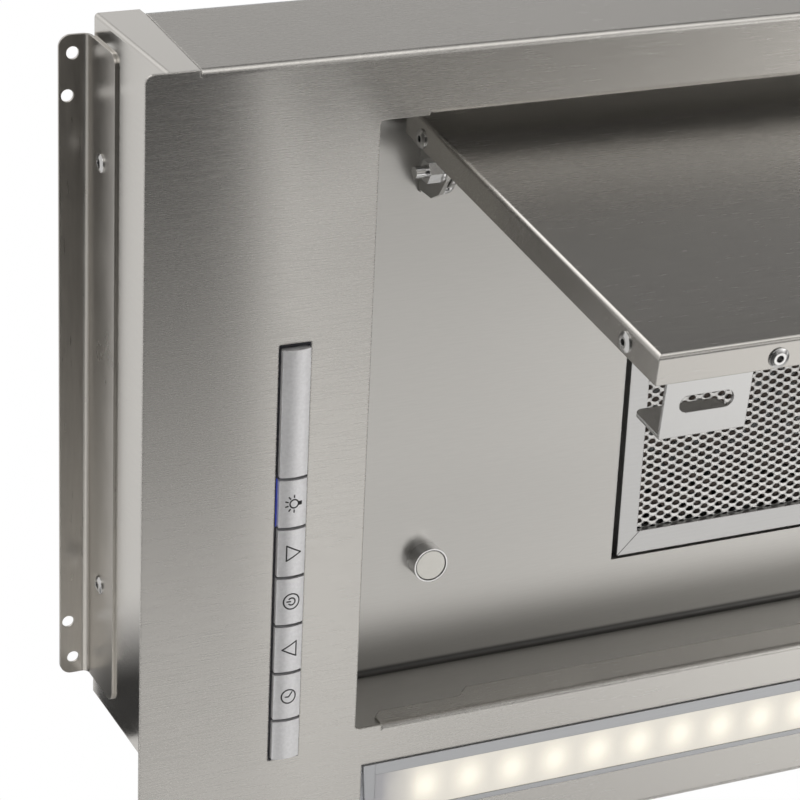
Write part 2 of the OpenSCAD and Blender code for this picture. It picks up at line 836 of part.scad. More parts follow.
// A channel-section frame with a pad in its front bar where the latch slides.
module filter_frame() {
    half_w = filter_w / 2;
    slot = filter_bar - 3.4;
    fit = 0.3;
    color("silver") difference() {
        union() {
            difference() {
                block([-half_w, 0, 0], [half_w, filter_l, filter_t]);
                block([-half_w + filter_bar, filter_bar + 1, -1],
                      [half_w - filter_bar, filter_l - filter_bar, filter_t + 1]);
                block([-half_w + slot, slot, 2], [half_w - slot, filter_l - slot, 6]);
            }
            block([-latch_pad_half_w, 0.5, 0], [latch_pad_half_w, latch_pad_l, filter_t - 1.5]);
        }
        for (x = [-1, 1], y = [0, 1]) {
            translate([x * half_w, y * filter_l, 0]) rotate([0, 0, y == 0 ? 45 * x : -45 * x])
                translate([x > 0 ? -10.3 : -1, -0.13, -1]) cube([11.3, 0.26, 1.35]);
        }
        block([-latch_half_w - fit, 3 - fit, 2 - fit],
              [latch_half_w + fit, 3 + latch_l + latch_travel + fit, 6 + fit]);
        block([-6 - fit, -1, 0.8], [6 + fit, 5, 3.2]);
        block([-8 - fit, 5 - fit, -1], [8 + fit, 7 + latch_travel + fit, 3]);
    }
}

module filter_frame_left() {
    at_filter(-1) filter_frame();
}

module filter_frame_right() {
    at_filter(1) filter_frame();
}

module filter_mesh() {
    half_w = filter_w / 2 - filter_bar + 3.1;
    low_y = filter_bar - 3.1;
    high_y = filter_l - filter_bar + 3.1;
    row_pitch = mesh_pitch * 0.87;
    columns = floor((2 * half_w - 0.6 * mesh_pitch) / mesh_pitch);
    rows = floor((high_y - low_y - 0.4 * mesh_pitch) / row_pitch);
    notch_half_w = latch_pad_half_w + 0.4;
    notch_y = latch_pad_l + 0.4;
    color("lightgray") difference() {
        block([-half_w, low_y, 2.3], [half_w, high_y, 5.7]);
        block([-notch_half_w, low_y - 1, 1], [notch_half_w, notch_y, 7]);
        for (i = [0 : columns - 1], j = [0 : rows - 1]) {
            x = (i - (columns - 1) / 2 + (j % 2 - 0.5) / 2) * mesh_pitch;
            y = (low_y + high_y) / 2 + (j - (rows - 1) / 2) * row_pitch;
            if (abs(x) > notch_half_w + 0.6 * mesh_pitch || y > notch_y + 0.6 * mesh_pitch) {
                translate([x, y, 1]) rotate([0, 0, 30]) cylinder(h = 6, r = mesh_pitch * 0.46, $fn = 6);
            }
        }
    }
}

module filter_mesh_left() {
    at_filter(-1) filter_mesh();
}

module filter_mesh_right() {
    at_filter(1) filter_mesh();
}

// A sliding bolt in the front bar of the filter whose nose rests above the recess floor.
module filter_latch() {
    color("dimgray") {
        block([-6, -filter_gap / 2 - 3, zinc_sheet + 0.3], [6, 4, 2.9]);
        block([-latch_half_w, 3, 2], [latch_half_w, 3 + latch_l, 6]);
        block([-8, 5, -2.5], [8, 7, 3]);
    }
}

module filter_latch_left() {
    at_filter(-1) filter_latch();
}

module filter_latch_right() {
    at_filter(1) filter_latch();
}

module light_profile() {
    base_t = 1.5;
    front = -light_w;
    color("darkgray") along_x(-profile_half_w, profile_half_w) translate([light_rear_y, light_bottom_z]) {
        translate([-light_rear_rim, 0]) square([light_rear_rim, light_h]);
        translate([front, 0]) square([light_front_rim, light_h]);
        translate([front, light_h - base_t]) square([light_w, base_t]);
        translate([-light_rear_rim - 1, 2]) square([1.1, 0.8]);
        translate([front + light_front_rim - 0.1, 2]) square([1.1, 0.8]);
    }
}

module light_diffuser() {
    rear = light_rear_y - light_rear_rim - 0.1;
    front = light_rear_y - light_w + light_front_rim + 0.1;
    color("cornsilk")
        block([-profile_half_w, front, light_bottom_z + 0.3], [profile_half_w, rear, light_bottom_z + 1.9]);
}

module light_strip() {
    strip_z = light_bottom_z + light_h - 1.5;
    mid_y = light_rear_y - light_rear_rim - (light_w - light_rear_rim - light_front_rim) / 2;
    first_x = plate_w / 2 - diode_start;
    last_x = first_x - (diode_count - 1) * diode_pitch;
    color("gold") {
        block([last_x - diode_pitch / 2, mid_y - 5, strip_z - 1.2],
              [first_x + diode_pitch / 2, mid_y + 5, strip_z]);
        for (i = [0 : diode_count - 1]) {
            translate([first_x - i * diode_pitch - 2.5, mid_y - 2.5, strip_z - 2.6]) cube([5, 5, 1.5]);
        }
    }
}

module light_end_caps() {
    color("gray") both_sides() {
        translate([0, light_rear_y, light_bottom_z]) linear_extrude(light_h) polygon([
            [profile_half_w, 0], [light_half_w, 0], [light_half_w - 1.6, -light_w], [profile_half_w, -light_w]
        ]);
        block([light_half_w - 2, light_rear_y - light_w, plate_top_z],
              [light_half_w + 8, light_rear_y, plate_top_z + 2]);
    }
}

module control_bezel() {
    neck_w = cap_w + 2 * rim_w;
    body_w = neck_w + 6;
    window_w = cap_w + 0.5;
    shelf_z = plate_top_z + 1.4;
    color("black") difference() {
        union() {
            block([strip_x - neck_w / 2, strip_rear_y - strip_l - rim_w, face_z - 0.2],
                  [strip_x + neck_w / 2, strip_rear_y + rim_w, plate_top_z]);
            block([strip_x - body_w / 2, bezel_front_y, plate_top_z],
                  [strip_x + body_w / 2, strip_rear_y + rim_w + 4, board_z]);
        }
        block([strip_x - window_w / 2, strip_rear_y - strip_l, face_z - 1],
              [strip_x + window_w / 2, strip_rear_y, plate_top_z + 0.01]);
        block([strip_x - window_w / 2, bezel_front_y + bezel_wall, face_z - 1],
              [strip_x + window_w / 2, strip_rear_y, shelf_z + 0.1]);
        block([strip_x - window_w / 2 - 1.2, bezel_front_y + bezel_wall, shelf_z],
              [strip_x + window_w / 2 + 1.2, strip_rear_y + 2, board_z + 1]);
        block([strip_x + window_w / 2 - 0.1, buttons_rear_y - button_pitch, face_z - 1],
              [strip_x + window_w / 2 + 0.3, buttons_rear_y, shelf_z + 0.5]);
    }
}

// One crowned cap of the control strip, with the shoulders that hold it behind the rim.
module strip_cap(cap_rear_y, length, shoulder_h) {
    half = cap_w / 2;
    crown_r = (half * half + cap_crown * cap_crown) / (2 * cap_crown);
    low_y = cap_rear_y - length + cap_gap / 2;
    high_y = cap_rear_y - cap_gap / 2;
    edge_z = face_z - cap_proud;
    shoulder_z = plate_top_z + 1.7;
    translate([strip_x, high_y, 0]) rotate([90, 0, 0]) linear_extrude(high_y - low_y) {
        intersection() {
            translate([0, edge_z - cap_crown + crown_r]) circle(crown_r, $fn = 96);
            translate([-half, edge_z - cap_crown - 1]) square([cap_w, cap_crown + 3]);
        }
        translate([-half, edge_z]) square([cap_w, shoulder_z - edge_z + 0.5]);
        translate([-half - 1, shoulder_z]) square([cap_w + 2, shoulder_h]);
    }
}

module button(index) {
    cap_rear_y = buttons_rear_y - index * button_pitch;
    mid_y = cap_rear_y - button_pitch / 2;
    color("silver") {
        strip_cap(cap_rear_y, button_pitch, 1.6);
        translate([strip_x, mid_y, plate_top_z + 3]) cylinder(h = bezel_depth - 7.3, r = 2);
    }
}

module badge_plate() {
    color("silver") strip_cap(strip_rear_y, badge_l, bezel_depth - 1.7);
}

module light_button() {
    button(0);
}

module faster_button() {
    button(1);
}

module power_button() {
    button(2);
}

module slower_button() {
    button(3);
}

module timer_button() {
    button(4);
}

module end_blank() {
    color("silver") difference() {
        strip_cap(blank_rear_y, blank_l, bezel_depth - 1.7);
        block([strip_x - cap_w, front_y - 5, plate_top_z - 0.2],
              [strip_x + cap_w, bezel_front_y + bezel_wall + 0.1, board_z + 1]);
    }
}

// A clear strip beside the light button that glows when the light is on.
module indicator_lens() {
    lens_x = strip_x + cap_w / 2 + 0.3;
    color("royalblue") block([lens_x, buttons_rear_y - button_pitch + 0.3, face_z - 0.2],
                             [lens_x + 0.25, buttons_rear_y - 0.3, plate_top_z + 1.3]);
}

module control_board() {
    color("green") {
        block([strip_x - 8, bezel_front_y, board_z], [strip_x + 8, strip_rear_y + 3, board_z + 1.6]);
        for (i = [0 : 4]) {
            translate([strip_x - 3, buttons_rear_y - (i + 0.5) * button_pitch - 3, board_z - 2.6])
                cube([6, 6, 2.6]);
        }
        block([strip_x - 6, strip_rear_y - 30, board_z + 1.6], [strip_x + 6, strip_rear_y - 14, board_z + 8]);
    }
}

module blower_housing() {
    half_w = housing_w / 2;
    half_l = housing_l / 2;
    t = zinc_sheet;
    color("silver") difference() {
        union() {
            block([-half_w, -half_l, cover_top_z], [half_w, half_l, housing_top_z]);
            block([-half_w - housing_foot, -half_l, cover_top_z],
                  [half_w + housing_foot, half_l, cover_top_z + t]);
        }
        block([-half_w + t, -half_l + t, cover_top_z - 1], [half_w - t, half_l - t, roof_z]);
        translate([0, 0, roof_z - 1]) cylinder(h = 5, r = spigot_r - spigot_t, $fn = 96);
        housing_screw_places() translate([0, 0, -1]) cylinder(h = 5, r = screw_r + hole_clearance);
        translate([half_w - 5, 60, cover_top_z + 30]) rotate([0, 90, 0]) cylinder(h = 10, r = 5);
    }
}

module housing_screws() {
    color("whitesmoke") housing_screw_places() translate([0, 0, zinc_sheet]) cross_screw(6);
}

// Outline of the scroll: a spiral from the tongue round to the outlet, which points up.
function scroll_outline(extra) = concat(
    [for (a = [90 : 9 : 360]) let (r = tongue_r + scroll_growth * (a - 90) / 270 + extra)
        [fan_y + r * cos(a), fan_z + r * sin(a)]],
    [[outlet_half + extra, roof_z + extra], [fan_y - extra, roof_z + extra]]
);

module scroll_wrapper() {
    t = zinc_sheet;
    half = scroll_w / 2;
    color("lightgray") {
        along_x(-half, half) intersection() {
            difference() {
                polygon(scroll_outline(0));
                polygon(scroll_outline(-t));
                translate([fan_y + t, fan_z + tongue_r - t]) square([outlet_half - fan_y - 2 * t, 60]);
            }
            translate([-200, -100]) square([400, 100 + roof_z]);
        }
        for (x = [-1, 1]) {
            translate([x * (half - 4) - 4, fan_y, roof_z - t]) cube([8, outlet_half - fan_y, t]);
        }
    }
}

module scroll_side() {
    color("lightgray") difference() {
        along_x(0, zinc_sheet) intersection() {
            polygon(scroll_outline(3));
            translate([-200, -100]) square([400, 100 + roof_z]);
        }
        rod_x(-1, 3, fan_y, fan_z, inlet_r);
        spider_screw_places() rod_x(-5, 5, 0, 0, 2 + hole_clearance);
    }
}

module spider_screw_places() {
    for (a = [90, 210, 330]) {
        translate([0, fan_y, fan_z]) rotate([a, 0, 0]) translate([0, inlet_r + 8, 0]) children();
    }
}

module scroll_side_right() {
    translate([scroll_w / 2, 0, 0]) scroll_side();
}

module scroll_side_left() {
    translate([-scroll_w / 2 - zinc_sheet, 0, 0]) scroll_side();
}

module impeller() {
    half = scroll_w / 2 - 5;
    hub_x = 8;
    color("dimgray") difference() {
        translate([0, fan_y, fan_z]) rotate([0, 90, 0]) {
            translate([0, 0, -1]) cylinder(h = 2, r = wheel_r, $fn = 96);
            cylinder(h = hub_x, r = 12);
            for (z = [-half, half - 2]) {
                translate([0, 0, z]) difference() {
                    cylinder(h = 2, r = wheel_r, $fn = 96);
                    translate([0, 0, -1]) cylinder(h = 4, r = wheel_r - 5, $fn = 96);
                }
            }
            for (i = [0 : blade_count - 1]) {
                rotate([0, 0, i * 360 / blade_count]) translate([wheel_r - 6, 0, -half])
                    rotate([0, 0, 28]) translate([-4.5, -0.5, 0]) cube([9.5, 1, 2 * half]);
            }
        }
        rod_x(-20, 20, fan_y, fan_z, shaft_r + 0.03);
    }
}

module motor_shaft() {
    color("lightsteelblue") rod_x(spider_x - 4, 14, fan_y, fan_z, shaft_r);
}

module motor() {
    color("gray") difference() {
        union() {
            rod_x(spider_x, -10, fan_y, fan_z, motor_r);
            rod_x(-10.5, -4, fan_y, fan_z, 9);
        }
        rod_x(spider_x - 5, 0, fan_y, fan_z, shaft_r + 0.05);
    }
}

module motor_spider() {
    color("darkgray") difference() {
        union() {
            rod_x(spider_x - 1.6, spider_x, fan_y, fan_z, motor_r - 6);
            for (a = [90, 210, 330]) {
                translate([spider_x - 1.6, fan_y, fan_z]) rotate([a, 0, 0])
                    translate([0, 0, -8]) cube([1.6, inlet_r + 8, 16]);
            }
            spider_screw_places() rod_x(spider_x - 1.6, spider_x, 0, 0, 8);
        }
        rod_x(spider_x - 5, spider_x + 5, fan_y, fan_z, shaft_r + 1);
        spider_screw_places() rod_x(spider_x - 5, spider_x + 5, 0, 0, 2 + hole_clearance);
    }
}

// Rubber bushes between the spider and the scroll, each with a head on both ends of its stem.
module motor_bushes() {
    inner_x = -scroll_w / 2;
    color("black") spider_screw_places() {
        rod_x(spider_x, inner_x - zinc_sheet, 0, 0, 6);
        rod_x(spider_x - 3.6, inner_x + 2, 0, 0, 2);
        rod_x(spider_x - 3.6, spider_x - 1.6, 0, 0, 4);
        rod_x(inner_x, inner_x + 2, 0, 0, 3);
    }
}

module duct_spigot() {
    ledge_z = flap_z - flap_t / 2 - 0.2;
    color("darkslategray") difference() {
        union() {
            translate([0, 0, housing_top_z]) cylinder(h = 2, r = spigot_r + 12, $fn = 96);
            translate([0, 0, housing_top_z]) cylinder(h = spigot_h, r = spigot_r, $fn = 96);
        }
        translate([0, 0, housing_top_z - 1]) cylinder(h = 20, r = ledge_r, $fn = 96);
        translate([0, 0, ledge_z]) cylinder(h = spigot_h, r = spigot_r - spigot_t, $fn = 96);
        for (y = [-1, 1]) rod_x(-spigot_r - 5, spigot_r + 5, y * flap_pin_y, flap_z, flap_pin_r);
    }
}

// A half disc with a barrel along its straight side, ending in the stub pins that it turns on.
module flap_solid() {
    barrel_half = ledge_r - 1;
    intersection() {
        translate([0, 0, flap_z - flap_t / 2]) cylinder(h = flap_t, r = flap_r, $fn = 96);
        block([-flap_r, flap_pin_y, flap_z - 5], [flap_r, flap_r, flap_z + 5]);
    }
    rod_x(-barrel_half, barrel_half, flap_pin_y, flap_z, flap_pin_r + 1.3);
    rod_x(-spigot_r + 0.3, spigot_r - 0.3, flap_pin_y, flap_z, flap_pin_r - pivot_clearance);
}

module flap_rear() {
    color("slategray") flap_solid();
}

module flap_front() {
    color("slategray") mirror([0, 1, 0]) flap_solid();
}

function box_low() = [control_box_x, -control_box_l / 2, cover_top_z];
function box_high() = [control_box_x + control_box_w, control_box_l / 2, cover_top_z + control_box_h];

module control_box() {
    t = plastic_t;
    color("whitesmoke") difference() {
        block(box_low(), box_high() - [0, 0, t]);
        block(box_low() + [t, t, t], box_high() - [t, t, -1]);
        rod_y(box_high()[1] - 5, box_high()[1] + 5, control_box_x + 40, gland_z,
              gland_bore_r + 3 + hole_clearance);
        rod_x(control_box_x - 5, control_box_x + 5, 20, gland_z + 8, 5);
    }
}

module control_box_lid() {
    t = plastic_t;
    fit = 0.3;
    low = box_low();
    high = box_high();
    color("white") difference() {
        union() {
            block([low[0], low[1], high[2] - t], high);
            block([low[0] + t + fit, low[1] + t + fit, high[2] - t - 4],
                  [high[0] - t - fit, high[1] - t - fit, high[2]]);
        }
        block([low[0] + 2 * t + fit, low[1] + 2 * t + fit, high[2] - t - 5],
              [high[0] - 2 * t - fit, high[1] - 2 * t - fit, high[2] - t]);
    }
}

// Printed circuit board on four posts, with the power supplies, the driver and the terminals.
module driver_board() {
    t = plastic_t;
    low = box_low();
    board_low = [low[0] + t + 4, low[1] + t + 4, low[2] + t + 6];
    size = [control_box_w - 2 * t - 8, control_box_l - 2 * t - 24, 1.6];
    color("green") translate(board_low) {
        cube(size);
        for (x = [5, size[0] - 5], y = [5, size[1] - 5]) translate([x, y, -6]) cylinder(h = 6.5, r = 3);
        translate([12, 12, 1]) cube([34, 28, 22]);
        translate([56, 14, 1]) cube([28, 13, 16]);
        translate([56, 34, 1]) cube([28, 13, 16]);
        translate([96, 12, 1]) cube([30, 24, 12]);
        for (i = [0 : 5]) translate([20 + 9 * i, size[1] - 14, 1]) cube([8.4, 10, 11]);
        translate([92, size[1] - 22, 1]) cylinder(h = 20, r = 8);
    }
}

module cable_gland() {
    wall_y = box_high()[1];
    x = control_box_x + 40;
    hex_r = gland_bore_r + 6;
    color("dimgray") difference() {
        union() {
            rod_y(wall_y - 12, wall_y + 12, x, gland_z, gland_bore_r + 3);
            rod_y(wall_y + 11, wall_y + 18, x, gland_z, gland_bore_r + 4);
            translate([x, wall_y + 11.5, gland_z]) rotate([90, 0, 0]) cylinder(h = 7, r = hex_r, $fn = 6);
            translate([x, wall_y + 3, gland_z]) rotate([90, 0, 0]) cylinder(h = 3, r = hex_r, $fn = 6);
            translate([x, wall_y - plastic_t, gland_z]) rotate([90, 0, 0])
                cylinder(h = 4, r = hex_r, $fn = 6);
        }
        rod_y(wall_y - 20, wall_y + 25, x, gland_z, gland_bore_r);
    }
}

face_plate();
end_cap_left();
end_cap_right();
front_wall();
recess_pan();
top_cover();
bracket_left();
bracket_right();
bracket_rivets();
panel_tray();
panel_liner();
panel_rivets();
hinge_arm_left();
hinge_arm_right();
striker_left();
striker_right();
hinge_bracket_left();
hinge_bracket_right();
hinge_bolts();
hinge_nuts();
hinge_screws();
magnet_holders();
magnets();
filter_frame_left();
filter_frame_right();
filter_mesh_left();
filter_mesh_right();
filter_latch_left();
filter_latch_right();
light_profile();
light_diffuser();
light_strip();
light_end_caps();
control_bezel();
badge_plate();
light_button();
faster_button();
power_button();
slower_button();
timer_button();
end_blank();
indicator_lens();
control_board();
blower_housing();
housing_screws();
scroll_wrapper();
scroll_side_left();
scroll_side_right();
impeller();
motor_shaft();
motor();
motor_spider();
motor_bushes();
duct_spigot();
flap_front();
flap_rear();
control_box();
control_box_lid();
driver_board();
cable_gland();
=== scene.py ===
# %% [markdown]
# # Undermount range hood, seen from below
# The hood hangs in its installed position with the suction panel open. The CAD model is loaded first
# and never moved, so every finish and every added piece sits where the real part would be made.

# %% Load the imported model
import math

import bmesh
import bpy
from mathutils import Matrix, Vector


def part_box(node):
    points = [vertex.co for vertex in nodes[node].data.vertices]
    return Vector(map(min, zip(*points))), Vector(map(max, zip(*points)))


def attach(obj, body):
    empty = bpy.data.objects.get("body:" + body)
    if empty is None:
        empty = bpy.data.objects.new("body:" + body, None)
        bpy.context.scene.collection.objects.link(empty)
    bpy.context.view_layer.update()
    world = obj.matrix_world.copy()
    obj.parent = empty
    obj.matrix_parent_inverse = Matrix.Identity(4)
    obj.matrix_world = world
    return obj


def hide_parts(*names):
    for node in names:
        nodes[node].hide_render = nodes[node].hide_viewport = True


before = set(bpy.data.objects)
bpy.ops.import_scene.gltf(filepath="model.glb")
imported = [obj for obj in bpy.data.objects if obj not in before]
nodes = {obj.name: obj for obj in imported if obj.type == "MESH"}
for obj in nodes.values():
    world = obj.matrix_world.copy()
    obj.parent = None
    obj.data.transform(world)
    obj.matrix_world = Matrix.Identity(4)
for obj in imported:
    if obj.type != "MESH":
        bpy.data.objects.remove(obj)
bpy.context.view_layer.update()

MM = 0.001
print("loaded", len(nodes), "nodes")

# %% [markdown]
# ## Reference sizes
# A few planes and axes of the hood are needed again and again. They are measured on the CAD nodes, so
# they follow the model if it changes.

# %% Planes of the hood
plate_low, plate_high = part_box("face_plate")
face_z = plate_low.z
pan_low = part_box("recess_pan")[0]
badge_low, badge_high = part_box("badge_plate")
strip_x = (badge_low.x + badge_high.x) / 2
print("underside of the face at", round(face_z, 4), "- control strip at x", round(strip_x, 4))

# %% [markdown]
# ## Building materials
# Every finish is a small tree of shader nodes. One helper adds a node and fills its inputs: a value is
# written on the socket, and another node's output is linked to it. The others build on it: noise for grain,
# a ramp between two tones, a bell curve for a soft spot, and the small relief that every surface has.

# %% Helpers for shader trees
GRAIN_DEPTH = 0.2 * MM
NOISE_ROUGHNESS = 0.6
BELL_BASE = 2.718


def add(tree, kind, inputs=None, **settings):
    made = tree.nodes.new(kind)
    for key, value in settings.items():
        setattr(made, key, value)
    for key, value in (inputs or {}).items():
        if isinstance(value, bpy.types.NodeSocket):
            tree.links.new(value, made.inputs[key])
        else:
            made.inputs[key].default_value = value
    return made


def blank_material(name):
    material = bpy.data.materials.new(name)
    material.use_nodes = True
    tree = material.node_tree
    tree.nodes.clear()
    shader = add(tree, "ShaderNodeBsdfPrincipled")
    out = add(tree, "ShaderNodeOutputMaterial", {"Surface": shader.outputs["BSDF"]})
    place = add(tree, "ShaderNodeTexCoord").outputs["Object"]
    return material, tree, shader, place


def math_node(tree, operation, a, b=0.0):
    return add(tree, "ShaderNodeMath", {0: a, 1: b}, operation=operation).outputs[0]


def noise(tree, place, stretch, detail=3.0):
    placed = add(tree, "ShaderNodeMapping", {"Vector": place, "Scale": stretch}).outputs[0]
    made = add(tree, "ShaderNodeTexNoise", {"Vector": placed, "Scale": 1.0, "Detail": detail,
                                            "Roughness": NOISE_ROUGHNESS})
    return made.outputs["Fac"]


def spread(tree, value, low, high):
    return add(tree, "ShaderNodeMapRange", {"Value": value, "From Min": 0.25, "From Max": 0.75,
                                            "To Min": low, "To Max": high}).outputs[0]


def ramp(tree, value, start, end, low, high):
    sizes = {"Value": value, "From Min": start, "From Max": end, "To Min": low, "To Max": high}
    return add(tree, "ShaderNodeMapRange", sizes, interpolation_type="SMOOTHSTEP").outputs[0]


def bell(tree, far_squared):
    return math_node(tree, "POWER", BELL_BASE, math_node(tree, "MULTIPLY", far_squared, -1.0))


def relief_of(tree, height, strength, edge):
    rounded = add(tree, "ShaderNodeBevel", {"Radius": edge}, samples=4).outputs[0]
    return add(tree, "ShaderNodeBump", {"Strength": strength, "Distance": GRAIN_DEPTH, "Height": height,
                                        "Normal": rounded}).outputs[0]


def tinted(tree, colour, gain):
    return add(tree, "ShaderNodeVectorMath", {0: colour[:3], "Scale": gain}, operation="SCALE").outputs[0]


print("helpers ready")

# %% [markdown]
# ## Brushed stainless steel
# The sheet is brushed along the width of the hood. Brushing leaves fine lines, a fraction of a millimetre
# apart and a few millimetres long, so the noise is stretched along X. The lines spread a reflection
# across themselves and keep it sharp along themselves. Anisotropic gloss does that, with its tangent
# square to both the surface and the grain. On a face square to X the cross product is zero, and the small
# vector added to it still gives a direction. A bevel in the normal rounds the sharp CAD edges by a hair.

# %% Brushed and rolled metal
ROUGH_SPREAD = 0.03
CLOUD_SPREAD = 0.02


def metal(name, colour, roughness, grain=(90, 2600, 2600), streak=0.05, cloud=0.03,
          bump=0.05, anisotropy=0.0, edge=0.4 * MM):
    material, tree, shader, place = blank_material(name)
    lines = noise(tree, place, grain)
    patches = noise(tree, place, (5, 9, 9), 2.0)
    gain = math_node(tree, "MULTIPLY", spread(tree, lines, 1 - streak, 1 + streak),
                     spread(tree, patches, 1 - cloud, 1 + cloud))
    base = tinted(tree, colour, gain)
    tree.links.new(base, shader.inputs["Base Color"])
    rough = math_node(tree, "ADD", spread(tree, lines, -ROUGH_SPREAD, ROUGH_SPREAD),
                      spread(tree, patches, roughness - CLOUD_SPREAD, roughness + CLOUD_SPREAD))
    tree.links.new(rough, shader.inputs["Roughness"])
    shader.inputs["Metallic"].default_value = 1.0
    tree.links.new(relief_of(tree, lines, bump, edge), shader.inputs["Normal"])
    if anisotropy:
        shader.inputs["Anisotropic"].default_value = anisotropy
        normal = add(tree, "ShaderNodeNewGeometry").outputs["Normal"]
        across = add(tree, "ShaderNodeVectorMath", {0: normal, 1: (1.0, 0.0, 0.0)}, operation="CROSS_PRODUCT")
        tangent = add(tree, "ShaderNodeVectorMath", {0: across.outputs[0], 1: (0.0, 0.001, 0.0)}).outputs[0]
        tree.links.new(tangent, shader.inputs["Tangent"])
    return material


print("metal recipe ready")

# %% [markdown]
# ## Painted shade at a bend, and mitre hairlines
# The recess floor turns down into its front wall through a tight bend. The photograph shows a dark line
# there, with a soft shade beside it. Soft light from all sides doesn't give that shade, so it is written
# into the colour. The filter frames are mitred, and a hairline runs along each diagonal. It is too fine for
# the mesh, so it is written into the colour as well. Both are ramps of the object's own coordinates, which
# stay put in every view.

# %% Painted shade along a bend, dark hairlines along mitres
SHEET = 0.8 * MM
RECESS_DEPTH = 35.0 * MM
# A band starts and ends at these distances behind the bend's corner, and is this deep where it starts.
BEND_LINE = (1.4 * MM, 3.0 * MM, 0.55)
BEND_SHADE = (3.0 * MM, 30.0 * MM, 0.30)
# The painted shade ends at these depths below the recess floor, so the wall under the bend keeps its own
# colour.
BEND_BELOW = (2.2 * MM, 1.4 * MM)
MITRE_HALF = (0.12 * MM, 0.35 * MM)
MITRE_TONE = 0.25


# Scales the base colour down: painted shade at the recess bend, and the dark hairlines of the mitre joints.
def shade_base(material, shade):
    tree = material.node_tree
    shader = next(n for n in tree.nodes if n.type == "BSDF_PRINCIPLED")
    base = shader.inputs["Base Color"].links[0].from_socket
    darkened_base = add(tree, "ShaderNodeVectorMath", {0: base, "Scale": shade}, operation="SCALE").outputs[0]
    tree.links.new(darkened_base, shader.inputs["Base Color"])


def own_axes(tree):
    place = add(tree, "ShaderNodeTexCoord").outputs["Object"]
    return add(tree, "ShaderNodeSeparateXYZ", {0: place}).outputs


def mitre_lines(material):
    low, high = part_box("filter_frame_right")
    half_x, half_y = (high.x - low.x) / 2, (high.y - low.y) / 2
    tree = material.node_tree
    x, y, _ = own_axes(tree)
    across = math_node(tree, "SUBTRACT", math_node(tree, "ABSOLUTE", x), abs(low.x + high.x) / 2)
    along = math_node(tree, "SUBTRACT", y, (low.y + high.y) / 2)
    from_side = math_node(tree, "SUBTRACT", half_x, math_node(tree, "ABSOLUTE", across))
    from_end = math_node(tree, "SUBTRACT", half_y, math_node(tree, "ABSOLUTE", along))
    off = math_node(tree, "ABSOLUTE", math_node(tree, "SUBTRACT", from_side, from_end))
    shade_base(material, ramp(tree, off, *MITRE_HALF, MITRE_TONE, 1.0))


# Paints shade into the recess steel's colour: a dark line along the front bend and a softer shade behind it.
def paint_shade_at_front_bend(material):
    corner_y = pan_low.y + SHEET
    floor_z = face_z + RECESS_DEPTH
    tree = material.node_tree
    _, y, z = own_axes(tree)
    bands = [ramp(tree, y, corner_y + start, corner_y + end, depth, 0.0)
             for start, end, depth in (BEND_LINE, BEND_SHADE)]
    near = math_node(tree, "ADD", *bands)
    high = ramp(tree, z, floor_z - BEND_BELOW[0], floor_z - BEND_BELOW[1], 0.0, 1.0)
    shade_base(material, math_node(tree, "SUBTRACT", 1.0, math_node(tree, "MULTIPLY", near, high)))


print("mitre half width", MITRE_HALF, "- bend bands", BEND_LINE, BEND_SHADE)

# %% [markdown]
# ## The metals of the hood
# The same recipe makes them all. Brushed sheet gets long grain and strong anisotropy. Galvanised sheet gets
# round grain and cloudy patches, as its zinc crystals do. Plated screws and rivets are smooth and bright.

# %% Metals
STEEL = (0.62, 0.605, 0.58)
stainless = metal("brushed_stainless", STEEL, 0.26, streak=0.035, bump=0.008, anisotropy=0.93, edge=0.7 * MM)
side_steel = metal("smooth_side_steel", STEEL, 0.17, grain=(700, 700, 60), streak=0.03, bump=0.02)
panel_steel = metal("brushed_panel_steel", (0.57, 0.555, 0.53), 0.26, streak=0.06, anisotropy=0.7, bump=0.035)
pan_steel = metal("satin_recess_steel", (0.62, 0.61, 0.59), 0.34, grain=(120, 1800, 1800), streak=0.03,
                  anisotropy=0.75)
# The recess steel carries painted shade along its front bend.
paint_shade_at_front_bend(pan_steel)
bracket_metal = metal("bracket_sheet", (0.52, 0.50, 0.47), 0.30, grain=(900, 60, 60), bump=0.03)
galvanised = metal("galvanised_sheet", (0.60, 0.61, 0.62), 0.42, grain=(90, 90, 90), streak=0.10, cloud=0.08,
                   bump=0.02)
zinc = metal("zinc_plated_steel", (0.72, 0.72, 0.72), 0.24, grain=(300, 300, 300), streak=0.06, bump=0.02,
             edge=0.3 * MM)
striker_metal = metal("striker_steel", (0.55, 0.55, 0.55), 0.24, grain=(300, 300, 300), bump=0.02,
                      edge=0.3 * MM)
filter_metal = metal("filter_aluminium", (0.56, 0.56, 0.56), 0.36, grain=(60, 900, 900), bump=0.03)
mitre_lines(filter_metal)
profile_metal = metal("anodised_profile", (0.50, 0.51, 0.53), 0.36, grain=(40, 1800, 1800), streak=0.04,
                      bump=0.02)
cast_metal = metal("die_cast_aluminium", (0.50, 0.50, 0.51), 0.5, grain=(500, 500, 500), streak=0.10,
                   bump=0.2)
magnet_face = metal("magnet_face", (0.80, 0.79, 0.75), 0.45, grain=(400, 400, 400), streak=0.03, bump=0.02)
print("metals ready")

# %% [markdown]
# ## Plastics, rubber and boards
# Moulded plastic has a faint grain and a little variation in gloss. The button caps carry a silver paint
# with fine metallic specks, so they are part metal.

# %% Plastics
PLASTIC_EDGE = 0.3 * MM
GLOSS_SPREAD = 0.05


